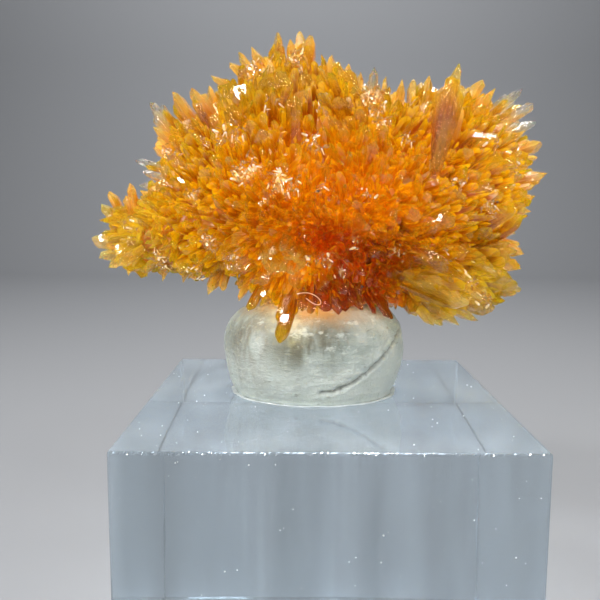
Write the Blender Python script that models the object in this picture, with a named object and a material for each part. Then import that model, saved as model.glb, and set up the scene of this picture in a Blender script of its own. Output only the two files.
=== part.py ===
"""A creedite cluster stuck with mineral putty on a clear acrylic display block.

Run it with: blender --background --python part.py
Units are metres, +Z is up, and the origin is the centre of the block's underside.
The front, which the cluster shows to a viewer, faces -Y. All three pieces are closed solids.
"""

import math
import random
from collections import namedtuple

import bmesh
import bpy
from mathutils import Matrix, Vector, noise

MM = 0.001

# Clear block
BLOCK_SIDE = 50.0 * MM
BLOCK_HEIGHT = 35.0 * MM
BLOCK_CHAMFER = 0.35 * MM

# Touching pieces keep this gap
GAP = 0.3 * MM
# Points of the joined cluster nearer than this are one point
MERGE = 0.004 * MM

# Putty ball: a round pressed between the block and the cluster
PUTTY_CENTRE = (-1.3 * MM, 3.6 * MM)
PUTTY_HALF_WIDTH = 13.4 * MM
PUTTY_HALF_DEPTH = 11.0 * MM
PUTTY_HEIGHT = 14.0 * MM
# Side of the ball as (share of the half width, share of the height), foot to top
PUTTY_PROFILE = (
    (0.84, 0.0), (0.90, 0.04), (0.93, 0.14), (0.97, 0.28), (1.0, 0.45), (0.99, 0.60),
    (0.94, 0.73), (0.84, 0.84), (0.68, 0.92), (0.42, 0.975), (0.0, 1.0),
)
PUTTY_SEGMENTS = 40
PUTTY_LUMP = 0.35 * MM
PUTTY_LUMP_SIZE = 7.0 * MM
PUTTY_PLAIN_FOOT = 0.5 * MM
# The fold on the front of the ball, as (x, height) over the block's top
CREASE_PATH = ((10.5, 9.5), (8.3, 6.0), (5.0, 3.8), (1.5, 1.3), (0.0, 0.5))
CREASE_WIDTH = 0.9 * MM
CREASE_DEPTH = 0.45 * MM

# Growth line of the cluster: every crystal points away from the nearest place on it.
# Places are (x, y, height over the block's top) in millimetres.
GROWTH_LINE = (
    (-27.0, 0.5, 23.0), (-10.5, 2.0, 26.0), (-2.0, 3.0, 22.5), (10.7, 2.5, 27.5), (14.0, 1.0, 19.0),
)

# Eye point of the front view, in the same millimetres
VIEW_POINT = (-3.2, -100.8, 26.9)

Lobe = namedtuple("Lobe", "centre reach up down")
# Lobes of the cluster: eggs with half sizes reach (x, y), up and down, measured to the tips
BODY = Lobe((2.0, 1.0, 27.5), (25.6, 15.4), 16.8, 15.0)
CROWN = Lobe((-4.5, 1.5, 33.0), (14.6, 13.6), 16.6, 12.0)
RIGHT_DOME = Lobe((16.0, 1.0, 31.0), (13.8, 14.0), 13.4, 12.6)
LEFT_LOBE = Lobe((-26.6, 0.5, 23.2), (6.5, 6.6), 6.6, 6.2)
LOWER_RIGHT_LOBE = Lobe((17.0, -1.5, 19.0), (10.8, 10.4), 7.0, 8.2)
LEFT_NECK = Lobe((-19.0, 1.0, 25.0), (9.5, 9.6), 8.2, 8.6)
FRONT_SKIRT = Lobe((-0.5, -2.6, 18.6), (13.4, 9.6), 7.0, 7.0)
LOBES = (BODY, CROWN, RIGHT_DOME, LEFT_LOBE, LOWER_RIGHT_LOBE, LEFT_NECK, FRONT_SKIRT)
# The grown-together mass, drawn from its heart: how deep it lies under the tips of the lobes
HEART = (0.0, 2.0, 24.0)
MASS_STRETCH = (26.0, 15.0, 18.0)
MASS_DETAIL = 3
MASS_DEPTH = (3.8, 6.0)
FARTHEST_REACH = 60.0 * MM
REACH_STEPS = 24
# Over the putty the mass comes down this much past the lobes, to be bedded on it
BED_DEPTH = 0.8 * MM
BED_SPREAD = 0.95
BED_HEIGHT = 16.5 * MM

Blade = namedtuple("Blade", "x z lean width length y pitch")


def blade(x, z, lean, width, length=8.0, y=None, pitch=None):
    """One outline crystal: tip place, lean from upright (right is plus), sizes in millimetres.

    Without y and pitch it takes its place in the ragged row round the cluster's rim.
    """
    return Blade(x, z, lean, width, length, y, pitch)


# Crystals that make the outline of the front view, round the cluster from the left lobe
OUTLINE_BLADES = (
    # Left lobe
    blade(-31.0, 18.6, -125, 2.0, 6), blade(-32.4, 20.0, -104, 1.9, 6), blade(-33.4, 22.5, -80, 2.1, 7),
    blade(-31.8, 27.6, -46, 1.8, 7), blade(-30.4, 29.4, -26, 1.7, 7), blade(-27.6, 30.6, -8, 1.9, 7),
    # Left shoulder
    blade(-26.2, 30.4, -82, 1.5, 7), blade(-25.6, 32.3, -64, 1.3, 7), blade(-26.7, 33.8, -72, 1.2, 8),
    blade(-24.2, 35.4, -66, 1.7, 8), blade(-24.1, 38.4, -50, 1.7, 8), blade(-24.5, 41.7, -38, 2.0, 9),
    blade(-21.4, 43.0, -37, 2.1, 9), blade(-18.8, 43.6, -30, 1.9, 9), blade(-16.4, 43.8, -20, 1.8, 8),
    blade(-16.0, 45.4, -56, 1.6, 8),
    # Crown
    blade(-13.4, 47.2, -45, 1.6, 9), blade(-12.2, 48.3, -38, 1.7, 9), blade(-10.3, 49.3, -28, 2.0, 10),
    blade(-7.0, 50.9, -9, 2.2, 10), blade(-4.9, 50.3, -7, 1.9, 9), blade(-3.6, 51.2, -3, 2.2, 10),
    blade(-2.2, 50.8, 8, 2.0, 10), blade(0.8, 48.2, 4, 1.7, 9), blade(2.9, 46.9, 6, 1.9, 9),
    blade(4.7, 45.9, 6, 1.8, 8), blade(6.6, 46.6, 1, 1.8, 8), blade(8.4, 45.3, 9, 1.7, 8),
    blade(10.6, 45.0, 6, 1.8, 8), blade(12.1, 44.8, 4, 1.9, 8), blade(14.2, 45.5, 6, 2.0, 8),
    # Right dome
    blade(18.0, 46.8, 13, 2.5, 12), blade(18.5, 42.6, 9, 2.6, 10, -5.5, -16),
    blade(21.6, 45.0, 30, 1.9, 9), blade(23.6, 43.8, 35, 1.9, 9), blade(27.3, 43.8, 50, 2.1, 10),
    blade(28.9, 41.7, 57, 1.9, 9), blade(29.4, 39.4, 64, 1.9, 9), blade(30.4, 36.2, 73, 2.1, 9),
    blade(31.3, 32.2, 74, 2.1, 9), blade(30.0, 29.0, 82, 1.9, 8), blade(29.2, 26.8, 96, 1.9, 8),
    # Lower right lobe
    blade(27.2, 23.6, 96, 1.9, 8), blade(28.6, 20.7, 108, 2.1, 8), blade(28.2, 18.6, 98, 2.0, 8),
    blade(28.4, 15.8, 92, 2.3, 9), blade(22.4, 11.2, 116, 2.5, 9, -3.0, -14),
    blade(19.6, 10.3, 124, 2.6, 9, -4.0, -16), blade(16.0, 10.4, 140, 2.4, 8, -4.0, -16),
    # Underside, with the blade that hangs in front of the putty
    blade(-12.2, 13.8, -158, 1.9, 7, -2.0), blade(-16.7, 14.6, -156, 1.9, 7, 0.0),
    blade(-20.4, 16.4, -160, 1.9, 7, 1.0), blade(-23.2, 16.6, -168, 1.8, 6, 1.0),
    blade(-28.0, 17.4, -170, 1.9, 6, 0.5), blade(-6.5, 7.6, -164, 2.2, 9, -9.2, -22),
    # Short blades over the front of the putty
    blade(9.6, 11.3, 150, 1.9, 6, -8.6, -34), blade(5.2, 12.0, 166, 1.9, 6, -9.0, -36),
    blade(0.4, 11.4, 176, 2.0, 6, -9.2, -36), blade(-3.2, 11.8, -172, 1.9, 6, -9.2, -36),
    blade(-10.9, 12.2, -152, 1.9, 6, -7.6, -30),
)

# The rim's row of outline blades: its middle, its half depth, the share of a turn from one blade
# to the next, and the pitch in degrees that each millimetre of depth gives a blade
RIM_MIDDLE = 1.0
RIM_HALF_DEPTH = 4.2
RIM_STEP = 0.618
RIM_PITCH = 3.2

# Free crystals between the outline ones, in millimetres
FREE_TRIALS = 3000
FREE_SPACING = 4.5
FREE_WIDTH = (3.2, 4.8)
FREE_LENGTH = (8.0, 10.0)
FREE_SHORTEN = (0.0, 1.4)
FREE_SWAY = 0.14
SEED = 23

# Crystal form, as shares of the width
BLADE_FLATNESS = (0.55, 0.85)
ROOT_SHARE = 0.62
ROOF_HEIGHT = 1.15
RIDGE_SHARE = 0.36
CUT_SHARE = 0.0001
CLEAN_SHARE = 0.002


def clear_scene():
    """Removes whatever the file holds."""
    for item in list(bpy.data.objects):
        bpy.data.objects.remove(item, do_unlink=True)


def make_material(name, colour, roughness, transmission=0.0, ior=1.45):
    """Returns a plain Principled material."""
    material = bpy.data.materials.new(name)
    material.use_nodes = True
    shader = material.node_tree.nodes["Principled BSDF"]
    shader.inputs["Base Color"].default_value = (*colour, 1.0)
    shader.inputs["Roughness"].default_value = roughness
    shader.inputs["Metallic"].default_value = 0.0
    shader.inputs["Transmission Weight"].default_value = transmission
    shader.inputs["IOR"].default_value = ior
    material.diffuse_color = (*colour, 1.0)
    return material


def make_object(name, mesh_data, material):
    """Turns a bmesh into a named object with one material, and frees the bmesh."""
    mesh = bpy.data.meshes.new(name)
    mesh_data.to_mesh(mesh)
    mesh_data.free()
    thing = bpy.data.objects.new(name, mesh)
    bpy.context.scene.collection.objects.link(thing)
    if material:
        mesh.materials.append(material)
    return thing


def hide_helper(thing):
    """Marks an object as a cutter or guide, which is no piece of the part."""
    thing.hide_render = True
    thing.display_type = "WIRE"


def over_block(place):
    """Turns (x, y, height over the block's top) in millimetres into a point in metres."""
    return Vector((place[0] * MM, place[1] * MM, BLOCK_HEIGHT + place[2] * MM))


def build_block(material):
    """The clear block: a square prism with fine chamfers."""
    shape = bmesh.new()
    bmesh.ops.create_cube(shape, size=1.0)
    bmesh.ops.scale(shape, vec=(BLOCK_SIDE, BLOCK_SIDE, BLOCK_HEIGHT), verts=shape.verts)
    bmesh.ops.translate(shape, vec=(0.0, 0.0, BLOCK_HEIGHT / 2), verts=shape.verts)
    bmesh.ops.bevel(shape, geom=shape.edges[:], offset=BLOCK_CHAMFER, segments=1, profile=0.5,
                    affect="EDGES", material=-1)
    return make_object("acrylic_block", shape, material)


def distance_to_crease(x, z):
    """Distance in the front view from a point to the fold line on the putty, in metres."""
    point = Vector((x, z))
    nearest = math.inf
    for start, end in zip(CREASE_PATH, CREASE_PATH[1:]):
        a = Vector((start[0] * MM, BLOCK_HEIGHT + start[1] * MM))
        b = Vector((end[0] * MM, BLOCK_HEIGHT + end[1] * MM))
        along = max(0.0, min(1.0, (point - a).dot(b - a) / (b - a).length_squared))
        nearest = min(nearest, (a.lerp(b, along) - point).length)
    return nearest


def putty_shape(grow):
    """Returns the putty as a bmesh, with every side moved out by grow."""
    shape = bmesh.new()
    ring = [shape.verts.new((share * PUTTY_HALF_WIDTH, 0.0, height * PUTTY_HEIGHT))
            for share, height in PUTTY_PROFILE]
    ring.insert(0, shape.verts.new((0.0, 0.0, 0.0)))
    edges = [shape.edges.new(pair) for pair in zip(ring, ring[1:])]
    bmesh.ops.spin(shape, geom=ring + edges, cent=(0, 0, 0), axis=(0, 0, 1), angle=math.tau,
                   steps=PUTTY_SEGMENTS, use_merge=True, use_duplicate=False)
    bmesh.ops.remove_doubles(shape, verts=shape.verts, dist=0.001 * MM)
    bmesh.ops.scale(shape, vec=(1.0, PUTTY_HALF_DEPTH / PUTTY_HALF_WIDTH, 1.0), verts=shape.verts)
    foot = BLOCK_HEIGHT + GAP
    bmesh.ops.translate(shape, vec=(*PUTTY_CENTRE, foot), verts=shape.verts)
    bmesh.ops.recalc_face_normals(shape, faces=shape.faces)
    shape.normal_update()
    moves = []
    for vert in shape.verts:
        lump = noise.noise(vert.co / PUTTY_LUMP_SIZE) * PUTTY_LUMP
        if vert.co.y < PUTTY_CENTRE[1]:
            near = distance_to_crease(vert.co.x, vert.co.z) / CREASE_WIDTH
            lump -= CREASE_DEPTH * math.exp(-near * near)
        if vert.co.z < foot + PUTTY_PLAIN_FOOT:
            lump = 0.0
        moved = vert.co + vert.normal * (lump + grow)
        moved.z = max(moved.z, foot - grow)
        moves.append(moved)
    for vert, place in zip(shape.verts, moves):
        vert.co = place
    return shape


def cut_end(shape, place, normal, width):
    """Cuts a crystal's end off along a plane and closes the cut."""
    cut = bmesh.ops.bisect_plane(
        shape, geom=shape.verts[:] + shape.edges[:] + shape.faces[:], dist=width * CUT_SHARE,
        plane_co=place, plane_no=normal, clear_outer=True)
    rim = [item for item in cut["geom_cut"] if isinstance(item, bmesh.types.BMEdge)]
    bmesh.ops.edgeloop_fill(shape, edges=rim)


def crystal_shape(width, flat, length, sides):
    """Returns one crystal: a flattened prism, narrower at its root, with a roof-shaped end.

    Its tip is at the origin and it runs down -Z for its length.
    """
    shape = bmesh.new()
    bmesh.ops.create_circle(shape, segments=sides, radius=width / 2, cap_ends=True)
    shoulder = ROOF_HEIGHT * width
    bmesh.ops.translate(shape, vec=(0.0, 0.0, -length), verts=shape.verts)
    lower = shape.verts[:]
    body = bmesh.ops.extrude_face_region(shape, geom=shape.faces[:], use_keep_orig=True)
    upper = [item for item in body["geom"] if isinstance(item, bmesh.types.BMVert)]
    bmesh.ops.translate(shape, vec=(0.0, 0.0, length), verts=upper)
    bmesh.ops.scale(shape, vec=(1.0, flat, 1.0), verts=shape.verts)
    bmesh.ops.scale(shape, vec=(ROOT_SHARE, ROOT_SHARE, 1.0), verts=lower)
    slope = width * flat / 2
    fall = (1.0 - RIDGE_SHARE) * width / 2
    ridge = RIDGE_SHARE * width / 2
    for side in (1, -1):
        cut_end(shape, (0.0, 0.0, 0.0), (0.0, side * shoulder, slope), width)
    for side in (1, -1):
        cut_end(shape, (side * ridge, 0.0, 0.0), (side * shoulder, 0.0, fall), width)
    bmesh.ops.remove_doubles(shape, verts=shape.verts, dist=width * CLEAN_SHARE)
    bmesh.ops.dissolve_degenerate(shape, dist=width * CLEAN_SHARE, edges=shape.edges)
    bmesh.ops.recalc_face_normals(shape, faces=shape.faces)
    return shape


def add_shape(target, shape):
    """Adds one bmesh to a joined bmesh, and frees it."""
    mesh = bpy.data.meshes.new("shape")
    shape.to_mesh(mesh)
    shape.free()
    target.from_mesh(mesh)
    bpy.data.meshes.remove(mesh)


def aim(tip, direction, roll):
    """Returns the matrix that puts a crystal's tip at a point, aimed along a direction."""
    turn = direction.to_track_quat("Z", "Y").to_matrix().to_4x4()
    return Matrix.Translation(tip) @ turn @ Matrix.Rotation(roll, 4, "Z")


def add_crystal(target, tip, direction, width, flat, length, sides, roll):
    """Adds one placed crystal to a joined bmesh."""
    shape = crystal_shape(width, flat, length, sides)
    shape.transform(aim(tip, direction, roll))
    add_shape(target, shape)


def nearest_growth_point(point):
    """Returns the place on the growth line that is nearest to a point."""
    line = [over_block(place) for place in GROWTH_LINE]
    best = line[0]
    for start, end in zip(line, line[1:]):
        along = (point - start).dot(end - start) / (end - start).length_squared
        place = start.lerp(end, max(0.0, min(1.0, along)))
        if (point - place).length < (point - best).length:
            best = place
    return best


def lobe_depth(lobe, point):
    """Returns how far out a point is in a lobe: under 1 is inside."""
    offset = (point - over_block(lobe.centre)) / MM
    tall = lobe.up if offset.z > 0 else lobe.down
    return Vector((offset.x / lobe.reach[0], offset.y / lobe.reach[1], offset.z / tall)).length


def mass_reach(direction):
    """Returns how far the lobes' joined surface lies from the heart in a direction."""
    heart = over_block(HEART)
    low = 0.0
    high = FARTHEST_REACH
    for _ in range(REACH_STEPS):
        middle = (low + high) / 2
        point = heart + direction * middle
        if any(lobe_depth(lobe, point) < 1.0 for lobe in LOBES):
            low = middle
        else:
            high = middle
    return low


def random_vector(draw, size):
    """Returns a vector of normally spread numbers."""
    return Vector((draw.gauss(0, 1), draw.gauss(0, 1), draw.gauss(0, 1))) * size


def add_mass(target, draw):
    """Adds the grown-together mass that carries the crystals to a joined bmesh."""
    shape = bmesh.new()
    bmesh.ops.create_icosphere(shape, subdivisions=MASS_DETAIL, radius=1.0)
    heart = over_block(HEART)
    for vert in shape.verts:
        direction = Vector(a * b for a, b in zip(vert.co, MASS_STRETCH)).normalized()
        reach = mass_reach(direction)
        depth = draw.uniform(*MASS_DEPTH) * MM
        if over_putty(heart + direction * reach):
            depth = -BED_DEPTH
        vert.co = heart + direction * (reach - depth)
    add_shape(target, shape)


def seen_place(x, z, y):
    """Slides a place read in the front view along its line of sight to depth y, in metres."""
    share = (y - VIEW_POINT[1]) / -VIEW_POINT[1]
    across = VIEW_POINT[0] + (x - VIEW_POINT[0]) * share
    height = VIEW_POINT[2] + (z - VIEW_POINT[2]) * share
    return over_block((across, y, height))


def settled_blades():
    """Returns the outline crystals with every depth and pitch filled in."""
    settled = []
    for index, item in enumerate(OUTLINE_BLADES):
        if item.y is None:
            depth = RIM_HALF_DEPTH * (2.0 * math.fmod(index * RIM_STEP, 1.0) - 1.0)
            item = item._replace(y=RIM_MIDDLE + depth, pitch=depth * RIM_PITCH)
        elif item.pitch is None:
            item = item._replace(pitch=0.0)
        settled.append(item)
    return settled


def blade_direction(item):
    """Returns the direction that an outline crystal points in."""
    lean = math.radians(item.lean)
    pitch = math.radians(item.pitch)
    flat = Vector((math.sin(lean), 0.0, math.cos(lean)))
    return (flat * math.cos(pitch) + Vector((0.0, math.sin(pitch), 0.0))).normalized()


def fibonacci_directions(count):
    """Yields directions spread evenly over a sphere."""
    golden = math.pi * (3.0 - math.sqrt(5.0))
    for index in range(count):
        z = 1.0 - (2.0 * index + 1.0) / count
        ring = math.sqrt(1.0 - z * z)
        yield Vector((ring * math.cos(golden * index), ring * math.sin(golden * index), z))


def over_putty(point):
    """Tells whether a point lies where the putty carries the cluster."""
    x = (point.x - PUTTY_CENTRE[0]) / PUTTY_HALF_WIDTH
    y = (point.y - PUTTY_CENTRE[1]) / PUTTY_HALF_DEPTH
    return math.hypot(x, y) < BED_SPREAD and point.z < BLOCK_HEIGHT + BED_HEIGHT


def free_crystals(draw):
    """Yields tip, direction, width and length of the crystals between the outline ones."""
    heart = over_block(HEART)
    tips = [seen_place(item.x, item.z, item.y) for item in settled_blades()]
    for even in fibonacci_directions(FREE_TRIALS):
        direction = Vector(a * b for a, b in zip(even, MASS_STRETCH)).normalized()
        tip = heart + direction * (mass_reach(direction) - draw.uniform(*FREE_SHORTEN) * MM)
        crowded = any((tip - other).length < FREE_SPACING * MM for other in tips)
        if crowded or over_putty(tip):
            continue
        tips.append(tip)
        away = (tip - nearest_growth_point(tip)).normalized()
        width = draw.uniform(*FREE_WIDTH) * MM
        length = draw.uniform(*FREE_LENGTH) * MM
        yield tip, (away + random_vector(draw, FREE_SWAY)).normalized(), width, length


def build_cluster(material):
    """The creedite: lobes and crystals joined into one solid, bedded on the putty."""
    draw = random.Random(SEED)
    joined = bmesh.new()
    add_mass(joined, draw)
    for item in settled_blades():
        tip = seen_place(item.x, item.z, item.y)
        flat = draw.uniform(*BLADE_FLATNESS)
        add_crystal(joined, tip, blade_direction(item), item.width * MM, flat, item.length * MM, 6,
                    draw.uniform(0.0, math.tau))
    for tip, direction, width, length in free_crystals(draw):
        flat = draw.uniform(*BLADE_FLATNESS)
        add_crystal(joined, tip, direction, width, flat, length, 4, draw.uniform(0.0, math.tau))
    cluster = make_object("creedite", joined, material)

    bed = make_object("putty_bed", putty_shape(GAP), None)
    hide_helper(bed)
    cut = cluster.modifiers.new("bed", "BOOLEAN")
    cut.operation = "DIFFERENCE"
    cut.object = bed
    cut.solver = "EXACT"
    cut.use_self = True
    keep_main_body(cluster)
    return cluster


def keep_main_body(thing):
    """Applies an object's modifiers and drops the chips and closed pockets that the cut leaves."""
    evaluated = thing.evaluated_get(bpy.context.evaluated_depsgraph_get())
    shape = bmesh.new()
    shape.from_mesh(evaluated.to_mesh())
    evaluated.to_mesh_clear()
    thing.modifiers.clear()
    bmesh.ops.remove_doubles(shape, verts=shape.verts, dist=MERGE)
    bmesh.ops.dissolve_degenerate(shape, dist=MERGE, edges=shape.edges)
    seen = set()
    bodies = []
    for first in shape.faces:
        if first in seen:
            continue
        body = [first]
        seen.add(first)
        for face in body:
            for edge in face.edges:
                for other in edge.link_faces:
                    if other not in seen:
                        seen.add(other)
                        body.append(other)
        bodies.append(body)
    main = max(bodies, key=len)
    spare = [face for body in bodies if body is not main for face in body]
    bmesh.ops.delete(shape, geom=spare, context="FACES")
    shape.to_mesh(thing.data)
    shape.free()


def main():
    """Builds the three pieces."""
    clear_scene()
    block_finish = make_material("clear_acrylic", (0.93, 0.96, 0.97), 0.03, 1.0, 1.49)
    putty_finish = make_material("mineral_putty", (0.66, 0.70, 0.62), 0.45)
    crystal_finish = make_material("orange_crystal", (0.90, 0.42, 0.06), 0.12, 0.6, 1.46)
    build_block(block_finish)
    putty = make_object("putty", putty_shape(0.0), putty_finish)
    putty.data.shade_smooth()
    build_cluster(crystal_finish)


main()
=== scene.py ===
"""Looks of a creedite cluster that mineral putty holds on a clear acrylic block.

Places are (x, y, height over the block's top) in millimetres until a mesh is made, which is in
metres. The front faces -Y, as in the frame.
"""
import logging
import math
import random
from dataclasses import dataclass, field
from enum import Enum, IntEnum
from typing import Any, ClassVar, Sequence

import bmesh
import bpy
import numpy as np
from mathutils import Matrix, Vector, noise


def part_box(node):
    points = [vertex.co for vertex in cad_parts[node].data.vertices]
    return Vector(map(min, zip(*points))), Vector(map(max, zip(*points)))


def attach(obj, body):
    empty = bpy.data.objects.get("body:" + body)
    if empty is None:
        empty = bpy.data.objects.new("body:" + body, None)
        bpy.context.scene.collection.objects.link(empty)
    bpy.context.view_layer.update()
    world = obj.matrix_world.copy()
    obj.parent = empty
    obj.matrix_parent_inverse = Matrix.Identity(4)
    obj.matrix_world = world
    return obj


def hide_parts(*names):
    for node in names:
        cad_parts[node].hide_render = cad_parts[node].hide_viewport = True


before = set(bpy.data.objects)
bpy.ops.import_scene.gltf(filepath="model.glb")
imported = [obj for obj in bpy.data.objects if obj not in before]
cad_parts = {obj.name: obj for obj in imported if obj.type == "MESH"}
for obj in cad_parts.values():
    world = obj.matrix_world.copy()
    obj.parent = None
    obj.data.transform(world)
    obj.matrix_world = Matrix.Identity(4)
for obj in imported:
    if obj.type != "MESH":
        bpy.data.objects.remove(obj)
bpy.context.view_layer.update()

log = logging.getLogger("creedite")

MM = 0.001
BLOCK_HEIGHT = 35.0
BLOCK_SIDE = 50.0
Point = tuple[float, float, float]
Colour = tuple[float, float, float]


def to_metres(places: np.ndarray) -> np.ndarray:
    """Turns places over the block's top in millimetres into points in metres.

    Args:
        places: An array of (x, y, height) rows.

    Returns:
        The same rows as points of the row frame.
    """
    return (places + np.array((0.0, 0.0, BLOCK_HEIGHT))) * MM


def unit(vectors: np.ndarray) -> np.ndarray:
    """Returns rows scaled to length one."""
    return vectors / np.maximum(np.linalg.norm(vectors, axis=-1, keepdims=True), 1e-9)


def off_path(places: np.ndarray, path: Sequence[Sequence[float]]) -> np.ndarray:
    """Returns the shortest way from a path to each place.

    Args:
        places: Rows of places.
        path: The path's corners, with as many numbers as a row has.

    Returns:
        One offset a row.
    """
    best = np.full(len(places), np.inf)
    result = np.zeros_like(places)
    for start, end in zip(path, path[1:]):
        a, b = np.array(start), np.array(end)
        along = np.clip((places - a) @ (b - a) / ((b - a) @ (b - a)), 0.0, 1.0)
        offset = places - (a + along[:, None] * (b - a))
        distance = np.linalg.norm(offset, axis=1)
        nearer = distance < best
        best = np.where(nearer, distance, best)
        result[nearer] = offset[nearer]
    return result


def lumps(places: np.ndarray, scale: float = 1.0) -> np.ndarray:
    """Returns smooth noise at each place, finer where the scale is larger."""
    return np.array([noise.noise(Vector(row) * scale) for row in places])


def settle(shape: bmesh.types.BMesh) -> None:
    """Turns a bmesh over the block's top in millimetres into metres, in place."""
    bmesh.ops.scale(shape, vec=(MM, MM, MM), verts=shape.verts)
    bmesh.ops.translate(shape, vec=(0, 0, BLOCK_HEIGHT * MM), verts=shape.verts)


def add_object(name: str, mesh: bpy.types.Mesh) -> bpy.types.Object:
    """Links a mesh to the scene as an object at the origin.

    Args:
        name: The object's name.
        mesh: Its mesh, in place.

    Returns:
        The new object.
    """
    thing = bpy.data.objects.new(name, mesh)
    bpy.context.scene.collection.objects.link(thing)
    return thing


def object_from(name: str, shape: bmesh.types.BMesh, smooth: bool,
                material: bpy.types.Material) -> bpy.types.Object:
    """Turns a bmesh into an object and frees it.

    Args:
        name: The object's name.
        shape: The bmesh, in place.
        smooth: Whether its faces are shaded smooth.
        material: Its finish.

    Returns:
        The new object.
    """
    mesh = bpy.data.meshes.new(name)
    shape.to_mesh(mesh)
    shape.free()
    if smooth:
        mesh.shade_smooth()
    mesh.materials.append(material)
    return add_object(name, mesh)


@dataclass(frozen=True)
class Zone:
    """A soft-edged region in millimetres: full within inner, ended at outer."""

    centre: Point
    inner: float
    outer: float
    stretch: Point = (1.0, 1.0, 1.0)


class Region(Enum):
    """Where the finishes change over the object."""

    MIDDLE = Zone((1.0, -9.0, 25.0), 4.0, 20.0, (1.2, 1.0, 0.9))
    # HEART, LOWER and FRONT bound painted shade in the hollow and under the overhang.
    HEART = Zone((-0.5, -11.0, 23.3), 1.0, 6.0, (1.4, 1.0, 0.8))
    LOWER = Zone((7.5, -8.0, 17.0), 4.0, 9.5, (1.2, 1.2, 1.0))
    FRONT = Zone((0.4, -8.0, 15.3), 2.0, 5.5, (1.3, 1.0, 0.7))
    LEFT_LOBE = Zone((-29.0, -1.0, 24.0), 4.5, 11.0)
    RIGHT_LOBE = Zone((20.5, -5.0, 14.0), 5.0, 12.0, (1.2, 1.0, 0.8))
    CROWN = Zone((-11.0, -2.0, 43.5), 1.5, 7.0, (1.7, 1.4, 0.8))
    SADDLE = Zone((7.5, -2.0, 43.0), 1.0, 4.5, (1.0, 1.6, 1.0))
    OLIVE = Zone((13.0, -9.0, 16.8), 2.0, 6.5)
    INSIDE = Zone((2.0, -7.0, 20.0), 5.0, 13.0, (1.3, 1.0, 1.0))
    PUTTY_LEFT = Zone((-13.0, -6.0, 8.0), 3.0, 11.0, (1.0, 1.0, 1.4))
    PUTTY_FRONT = Zone((-2.5, -7.4, 9.5), 1.0, 9.0, (1.3, 1.0, 0.9))


# Shader maths

class Wire:
    """An output socket of a paint's node tree, which can be used in sums."""

    def __init__(self, paint: "Paint", socket: bpy.types.NodeSocket) -> None:
        """Keeps the paint and the socket."""
        self.paint = paint
        self.socket = socket

    def _maths(self, operation: str, first: Any, second: Any, clamp: bool = False) -> "Wire":
        """Adds a Math node and returns its output."""
        return self.paint.node("ShaderNodeMath", {"operation": operation, "use_clamp": clamp},
                               {0: first, 1: second})

    def __add__(self, other: Any) -> "Wire":
        """Adds a value or wire."""
        return self._maths("ADD", self, other)

    def __radd__(self, other: Any) -> "Wire":
        """Adds this wire to a value."""
        return self._maths("ADD", other, self)

    def __sub__(self, other: Any) -> "Wire":
        """Takes a value or wire away."""
        return self._maths("SUBTRACT", self, other)

    def __rsub__(self, other: Any) -> "Wire":
        """Takes this wire from a value."""
        return self._maths("SUBTRACT", other, self)

    def __mul__(self, other: Any) -> "Wire":
        """Multiplies by a value or wire."""
        return self._maths("MULTIPLY", self, other)

    def __rmul__(self, other: Any) -> "Wire":
        """Multiplies a value by this wire."""
        return self._maths("MULTIPLY", other, self)

    def clamped(self) -> "Wire":
        """Returns the value held between 0 and 1."""
        return self._maths("ADD", self, 0.0, clamp=True)


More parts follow.
